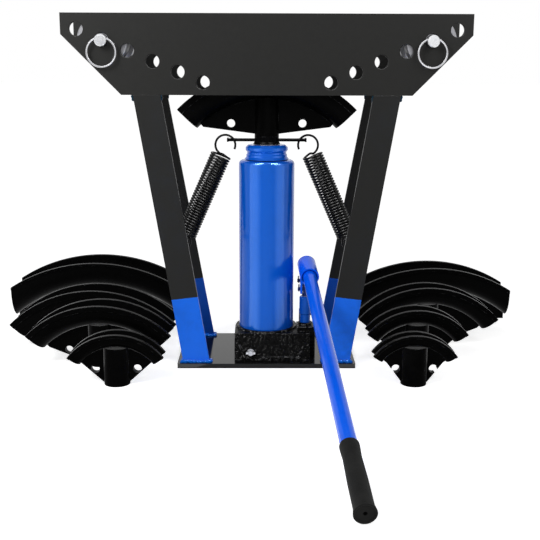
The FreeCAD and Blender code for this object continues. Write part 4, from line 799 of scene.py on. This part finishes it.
# %% Lay the beads of one leg
FIRST_DAB = (0.155, 0.0945, 0.0105)
BEAD_OUT = 0.0012
BEAD_Z = BASE_TOP + 0.0010
DAB_SPACING = 0.0056
pick_nothing()
bpy.ops.mesh.primitive_uv_sphere_add(segments=10, ring_count=6, radius=DAB, location=FIRST_DAB)
bpy.ops.object.mode_set(mode="EDIT")
left_x, right_x = LEG_FOOT_X - LEG_WIDTH - BEAD_OUT, LEG_FOOT_X + BEAD_OUT
near_y, far_y = LEG_FOOT_Y + BEAD_OUT, LEG_FOOT_Y - LEG_THICK - BEAD_OUT
corners = [(left_x, near_y), (right_x, near_y), (right_x, far_y), (left_x, far_y), (left_x, near_y)]
dabs = 0
for (x1, y1), (x2, y2) in zip(corners, corners[1:]):
    dabs += run_of_dabs((x1, y1, BEAD_Z), (x2, y2, BEAD_Z), DAB, DAB_SPACING)
TOP_DAB = 0.0034
TOP_SPACING = 0.0028
TOP_SEAM_Y = 0.062
TOP_SEAM_RUN = 0.0070
for edge, way in ((LEG_TOP_X, 1), (LEG_TOP_X - LEG_WIDTH, -1)):
    start = (edge + way * 0.0005, TOP_SEAM_Y, BEAM_FOOT - 0.0024)
    end = (edge + way * 0.0002 - TOP_SEAM_RUN * LEG_LEAN_X, TOP_SEAM_Y, BEAM_FOOT - 0.0090)
    dabs += run_of_dabs(start, end, TOP_DAB, TOP_SPACING)
first_beads = melt("weld_bead_right_rear")
print(dabs, "dabs of weld")

# %% [markdown]
# The other three legs mirror the first. A mirrored mesh is turned inside out, so its normals are made
# outward again before it is finished.

# %% Mirror the beads


def mirrored(piece, name, side, face):
    pick(piece)
    bpy.ops.object.duplicate()
    copy = bpy.context.object
    copy.scale = (side, face, 1)
    bpy.ops.object.transform_apply(location=False, rotation=False, scale=True)
    edit(copy)
    bpy.ops.mesh.select_all(action="SELECT")
    bpy.ops.mesh.normals_make_consistent(inside=False)
    pick_nothing()
    return finish_piece(copy, name, BEAD_ANGLE)


bead_pieces = [first_beads]
for name, side, face in (("weld_bead_right_front", 1, -1), ("weld_bead_left_rear", -1, 1),
                         ("weld_bead_left_front", -1, -1)):
    piece = mirrored(first_beads, name, side, face)
    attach(piece, "frame")
    bead_pieces.append(piece)
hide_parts("weld_beads")
print(len(bead_pieces), "groups of beads")

# %% [markdown]
# ## The foam grip
# The grip is a sleeve of closed foam pushed over the end of the tube. It swells towards the end, its rims
# are round, and the closed end is a slightly dished disc with a vent hole in it. It is a cylinder cut into
# rings in edit mode. Each ring is drawn in to its own width, and a Bevel modifier rounds the rims.

# %% Draw out the grip
GRIP_LENGTH = 0.144
GRIP_FAR = 0.7582
GRIP_NEAR = GRIP_FAR - GRIP_LENGTH
GRIP_RADIUS = 0.0161
TUBE_HOLE = 0.01305
GRIP_SIDES = 72
GRIP_RINGS = ((0.004, 0.0147), (0.022, 0.0150), (0.027, 0.0156), (0.080, 0.0159), (0.132, 0.0161))
CLOSE = 0.0001


def round_test(centre_z, radius):
    """A test for the points that lie on a level, no further out than a radius."""
    return lambda spot: abs(spot.z - centre_z) < CLOSE and math.hypot(spot.x, spot.y) < radius + CLOSE


pick_nothing()
bpy.ops.mesh.primitive_cylinder_add(vertices=GRIP_SIDES, radius=GRIP_RADIUS, depth=GRIP_LENGTH,
                                    location=(0, 0, (GRIP_NEAR + GRIP_FAR) / 2))
grip = bpy.context.object
bpy.ops.object.transform_apply(location=True, rotation=True, scale=True)
edit(grip)
for run, radius in GRIP_RINGS:
    bpy.ops.mesh.select_all(action="SELECT")
    level = GRIP_NEAR + run
    bpy.ops.mesh.bisect(plane_co=(0, 0, level), plane_no=(0, 0, 1))
    pick_points(grip, round_test(level, GRIP_RADIUS))
    share = radius / GRIP_RADIUS
    bpy.ops.transform.resize(value=(share, share, 1), center_override=(0, 0, level))
print("rings cut:", len(GRIP_RINGS))

# %% Hollow the near end and dish the far one
NEAR_RADIUS = 0.0146
SLEEVE_DEPTH = 0.02
RIM = 0.0022
RIM_STEP = 0.0012
DISH = 0.0005
VENT = 0.003
VENT_DEPTH = 0.006
RIM_ROUNDING = 0.0011
pick_points(grip, round_test(GRIP_NEAR, GRIP_RADIUS))
share = NEAR_RADIUS / GRIP_RADIUS
bpy.ops.transform.resize(value=(share, share, 1), center_override=(0, 0, GRIP_NEAR))
bpy.ops.mesh.select_mode(type="FACE")
bpy.ops.mesh.inset(thickness=NEAR_RADIUS - TUBE_HOLE, depth=0)
bpy.ops.mesh.extrude_region_move(TRANSFORM_OT_translate={"value": (0, 0, SLEEVE_DEPTH)})
pick_points(grip, round_test(GRIP_FAR, GRIP_RADIUS))
bpy.ops.mesh.select_mode(type="FACE")
bpy.ops.mesh.inset(thickness=RIM, depth=0)
bpy.ops.mesh.inset(thickness=RIM_STEP, depth=-RIM_STEP)
bpy.ops.mesh.inset(thickness=GRIP_RADIUS - (RIM + RIM_STEP) - VENT, depth=DISH)
bpy.ops.mesh.extrude_region_move(TRANSFORM_OT_translate={"value": (0, 0, -VENT_DEPTH)})
pick_nothing()
round_rims = grip.modifiers.new("Round rims", "BEVEL")
round_rims.width = RIM_ROUNDING
round_rims.segments = 4
round_rims.limit_method = "ANGLE"
round_rims.angle_limit = math.radians(40)
apply_modifiers(grip)
print("grip:", len(grip.data.polygons), "faces")

# %% [markdown]
# The handle falls towards its grip and points a little to the right. The grip was drawn upright, so it is
# turned to lie along the handle, and it stays on it when the handle swings.

# %% Push the grip over the tube
HANDLE_REAR = Vector((0.0796, 0.008, 0.1818))
FALL = math.radians(12.6)
SWING = math.radians(3.2)
level_share = math.cos(FALL)
handle_way = Vector((level_share * math.sin(SWING), -level_share * math.cos(SWING), -math.sin(FALL)))
turn = Vector((0, 0, 1)).rotation_difference(handle_way).to_matrix().to_4x4()
grip.matrix_world = Matrix.Translation(HANDLE_REAR) @ turn
finish_piece(grip, "foam_grip", 50)
grip.data.materials.append(foam)
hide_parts("handle_grip")
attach(grip, "handle")

# %% [markdown]
# ## Floor, light and camera
# The bender stands on a plain white floor that fades into a white room. The floor is an ordinary pale
# surface, so it keeps the shadow, and the camera, mirrors and glass see a little extra white in it.

# %% Floor and room
FLOOR_LIFT = 0.70
FLOOR_SIZE = 60
FLOOR_DROP = 0.0002
ROOM_LIGHT = 0.38
PAPER_WHITE = (0.86, 0.86, 0.86, 1)


def seen_directly(tree):
    """One for the rays that come from the camera or a mirror or through glass, nought for the rest."""
    path = put(tree, "LightPath")
    either = sum_of(tree, "MAXIMUM", path.outputs["Is Camera Ray"], path.outputs["Is Glossy Ray"])
    return sum_of(tree, "MAXIMUM", either, path.outputs["Is Transmission Ray"])


pick_nothing()
bpy.ops.mesh.primitive_plane_add(size=FLOOR_SIZE, location=(0, 0, -FLOOR_DROP))
floor = bpy.context.object
floor.name = "studio_floor"
material, tree, shader = new_material("Pale studio floor")
set_plain(shader, Base_Color=PAPER_WHITE, Roughness=0.9, Specular_IOR_Level=0.1, Emission_Color=WHITE)
lift = sum_of(tree, "MULTIPLY", seen_directly(tree), FLOOR_LIFT)
tree.links.new(lift, shader.inputs["Emission Strength"])
floor.data.materials.append(material)

world = bpy.data.worlds.new("White room")
bpy.context.scene.world = world
world.use_nodes = True
room = world.node_tree
background = room.nodes["Background"]
background.inputs["Color"].default_value = WHITE
strength = spread(room, seen_directly(room), 0, 1, ROOM_LIGHT, 1.0)
room.links.new(strength, background.inputs["Strength"])
print("room light", ROOM_LIGHT)

# %% [markdown]
# The lamps come in three kinds. The soft boxes light the bender, all but its rear legs. The one on the left
# is larger and stronger, so the left side is brighter and the pull rings throw a shadow. The cards are
# white boards that only a glossy surface sees. Two hang high in front, for the bright ovals on the tank's
# shoulder. Two are wedges on the floor, for the two long stripes on the round tank: the camera looks down,
# so an upright wall of steel mirrors the floor. A small bare bulb brings out the grains of the casting. The
# cards and the bulb each shine on a list of pieces only.

# %% A function for lamps


def hang_lamp(name, place, width, height, brightness, aim):
    """An area lamp that looks at a point. The brightness is that of its face."""
    bpy.ops.object.light_add(type="AREA", location=place)
    lamp = bpy.context.object
    lamp.name = name
    lamp.rotation_euler = (Vector(aim) - Vector(place)).to_track_quat("-Z", "Y").to_euler()
    lamp.data.shape = "RECTANGLE"
    lamp.data.size = width
    lamp.data.size_y = height
    lamp.data.energy = brightness * math.pi * width * height
    lamp.visible_camera = False
    return lamp


def lamp_group(name, pieces, state="INCLUDE"):
    """The pieces that a lamp shines on, or with the state EXCLUDE the ones it leaves out."""
    group = bpy.data.collections.new(name)
    for piece in pieces:
        group.objects.link(piece)
    for link in group.collection_objects:
        link.light_linking.link_state = state
    return group


def with_finishes(finishes):
    """The parts that have one of the finishes."""
    return [parts[name] for finish in finishes for name in FINISHES[finish]]


print("parts in blue enamel:", [part.name for part in with_finishes([blue_enamel])])

# %% Soft boxes
SOFT_BOXES = (
    ("left", (-0.82, -1.00, 1.10), 0.50, 0.50, 15.0),
    ("right", (0.80, -1.05, 1.05), 0.35, 0.40, 8.5),
)
BOX_AIM = (0, -0.03, 0.38)
flagged = lamp_group("behind the flags", [parts["leg_rear_left"], parts["leg_rear_right"]], "EXCLUDE")
for name, place, width, height, brightness in SOFT_BOXES:
    lamp = hang_lamp("soft_box_" + name, place, width, height, brightness, BOX_AIM)
    lamp.light_linking.receiver_collection = flagged
print(len(SOFT_BOXES), "soft boxes")

# %% High cards and the bulb
HIGH_CARDS = (("left", (-0.74, -0.68, 1.75)), ("right", (0.80, -0.64, 1.75)))
HIGH_CARD_WIDTH = 0.60
HIGH_CARD_HEIGHT = 1.50
HIGH_CARD_BRIGHTNESS = 60.0
HIGH_CARD_AIM = (0, 0, 0.38)
shiny = with_finishes((plate_paint, leg_paint, blue_enamel, die_enamel, arm_enamel))
shiny = [part for part in shiny if part is not parts["tank_nut"]] + [coil, twin] + bead_pieces
glossy = lamp_group("what the high cards shine on", shiny)
for name, place in HIGH_CARDS:
    card = hang_lamp("high_card_" + name, place, HIGH_CARD_WIDTH, HIGH_CARD_HEIGHT, HIGH_CARD_BRIGHTNESS,
                     HIGH_CARD_AIM)
    card.visible_diffuse = False
    card.light_linking.receiver_collection = glossy
BULB_PLACE = (-0.55, -0.95, 0.95)
BULB_SIZE = 0.12
BULB_BRIGHTNESS = 900.0
BULB_AIM = (0, 0, 0.05)
bulb = hang_lamp("bare_bulb", BULB_PLACE, BULB_SIZE, BULB_SIZE, BULB_BRIGHTNESS, BULB_AIM)
bulb.light_linking.receiver_collection = lamp_group("what the bulb shines on", [parts["jack_base"]])

# %% [markdown]
# The tank would also mirror the front legs and the loose dies beside the base, and the stripes would
# break. So mirrors are told not to see them. Each card lies between two headings, in degrees from the
# front, and its outer edge is folded up into a wall.

# %% Cards on the floor
for name in parts:
    if name.startswith("leg_front") or name.startswith("loose_die"):
        parts[name].visible_glossy = False
CARD_NEAR = 0.19
CARD_FAR = 1.05
CARD_HEIGHT = 1.2
CARD_LIFT = Vector((0, 0, 0.002))
CORNER_REACH = 0.01
striped_finishes = (plate_paint, leg_paint, deck_paint, blue_enamel, handle_enamel, shaded_link_enamel)
striped = lamp_group("what the floor cards shine on", with_finishes(striped_finishes) + bead_pieces)


def lay_card(name, inner, full, outer, brightness):
    """A card between the headings inner and outer. It fades in from inner, and is at its brightest from
    full on."""
    pick_nothing()
    bpy.ops.mesh.primitive_plane_add(size=1, location=(0, 0, 0))
    card = bpy.context.object
    card.name = name
    edit(card, "VERT")
    for row, reach in ((1, CARD_NEAR), (-1, CARD_FAR)):
        for side, heading in zip((-1, 1), sorted((inner, outer))):
            corner = Vector((side / 2, row / 2, 0))
            spot = Vector((math.sin(math.radians(heading)), -math.cos(math.radians(heading)), 0)) * reach
            bpy.ops.mesh.select_all(action="DESELECT")
            pick_points(card, lambda point: (point - corner).length < CORNER_REACH)
            bpy.ops.transform.translate(value=spot - corner + CARD_LIFT)
    bpy.ops.mesh.select_all(action="DESELECT")
    pick_points(card, lambda point: math.hypot(point.x, point.y) > CARD_FAR - CORNER_REACH)
    bpy.ops.mesh.select_mode(type="EDGE")
    bpy.ops.mesh.extrude_edges_move(TRANSFORM_OT_translate={"value": (0, 0, CARD_HEIGHT)})
    pick_nothing()
    paper, tree, shader = new_material("Paper of the " + name)
    place = put(tree, "SeparateXYZ", {0: own_place(tree)})
    ahead = sum_of(tree, "MULTIPLY", place.outputs["Y"], -1.0)
    bearing = sum_of(tree, "ARCTAN2", place.outputs["X"], ahead)
    glow = spread(tree, bearing, math.radians(inner), math.radians(full), 0.0, brightness)
    tree.links.new(glow, shader.inputs["Emission Strength"])
    set_plain(shader, Base_Color=PAPER_WHITE, Roughness=1.0, Emission_Color=WHITE)
    card.data.materials.append(paper)
    for way in ("camera", "diffuse", "transmission", "volume_scatter", "shadow"):
        setattr(card, "visible_" + way, False)
    card.light_linking.receiver_collection = striped
    return card


for card in (lay_card("left_card", -18, -42, -72, 3.9), lay_card("right_card", 26, 46, 76, 2.8)):
    print(card.name, [tuple(round(c, 2) for c in point.co) for point in card.data.vertices])

# %% [markdown]
# The camera stands 1.8 m in front of the bender, not quite as high as its top, and looks a little down.
# Its place, its turns and its lens were worked out together, from points on the bender and rows of points
# along the edges of its legs.

# %% Camera
CAMERA_PLACE = (-0.01006, -1.8, 0.56294)
LENS = 61.795
FILM_WIDTH = 36
PITCH_DOWN = math.radians(12.316)
TURN_RIGHT = math.radians(0.548)
ROLL = math.radians(0.196)
bpy.ops.object.camera_add(location=CAMERA_PLACE, rotation=(math.pi / 2 - PITCH_DOWN, 0, -TURN_RIGHT))
camera = bpy.context.object
camera.rotation_euler = (camera.rotation_euler.to_matrix() @ Matrix.Rotation(ROLL, 3, "Z")).to_euler()
camera.data.lens = LENS
camera.data.sensor_width = FILM_WIDTH
scene = bpy.context.scene
scene.camera = camera
scene.view_settings.view_transform = "Standard"
print("camera", camera.data.lens, "mm")
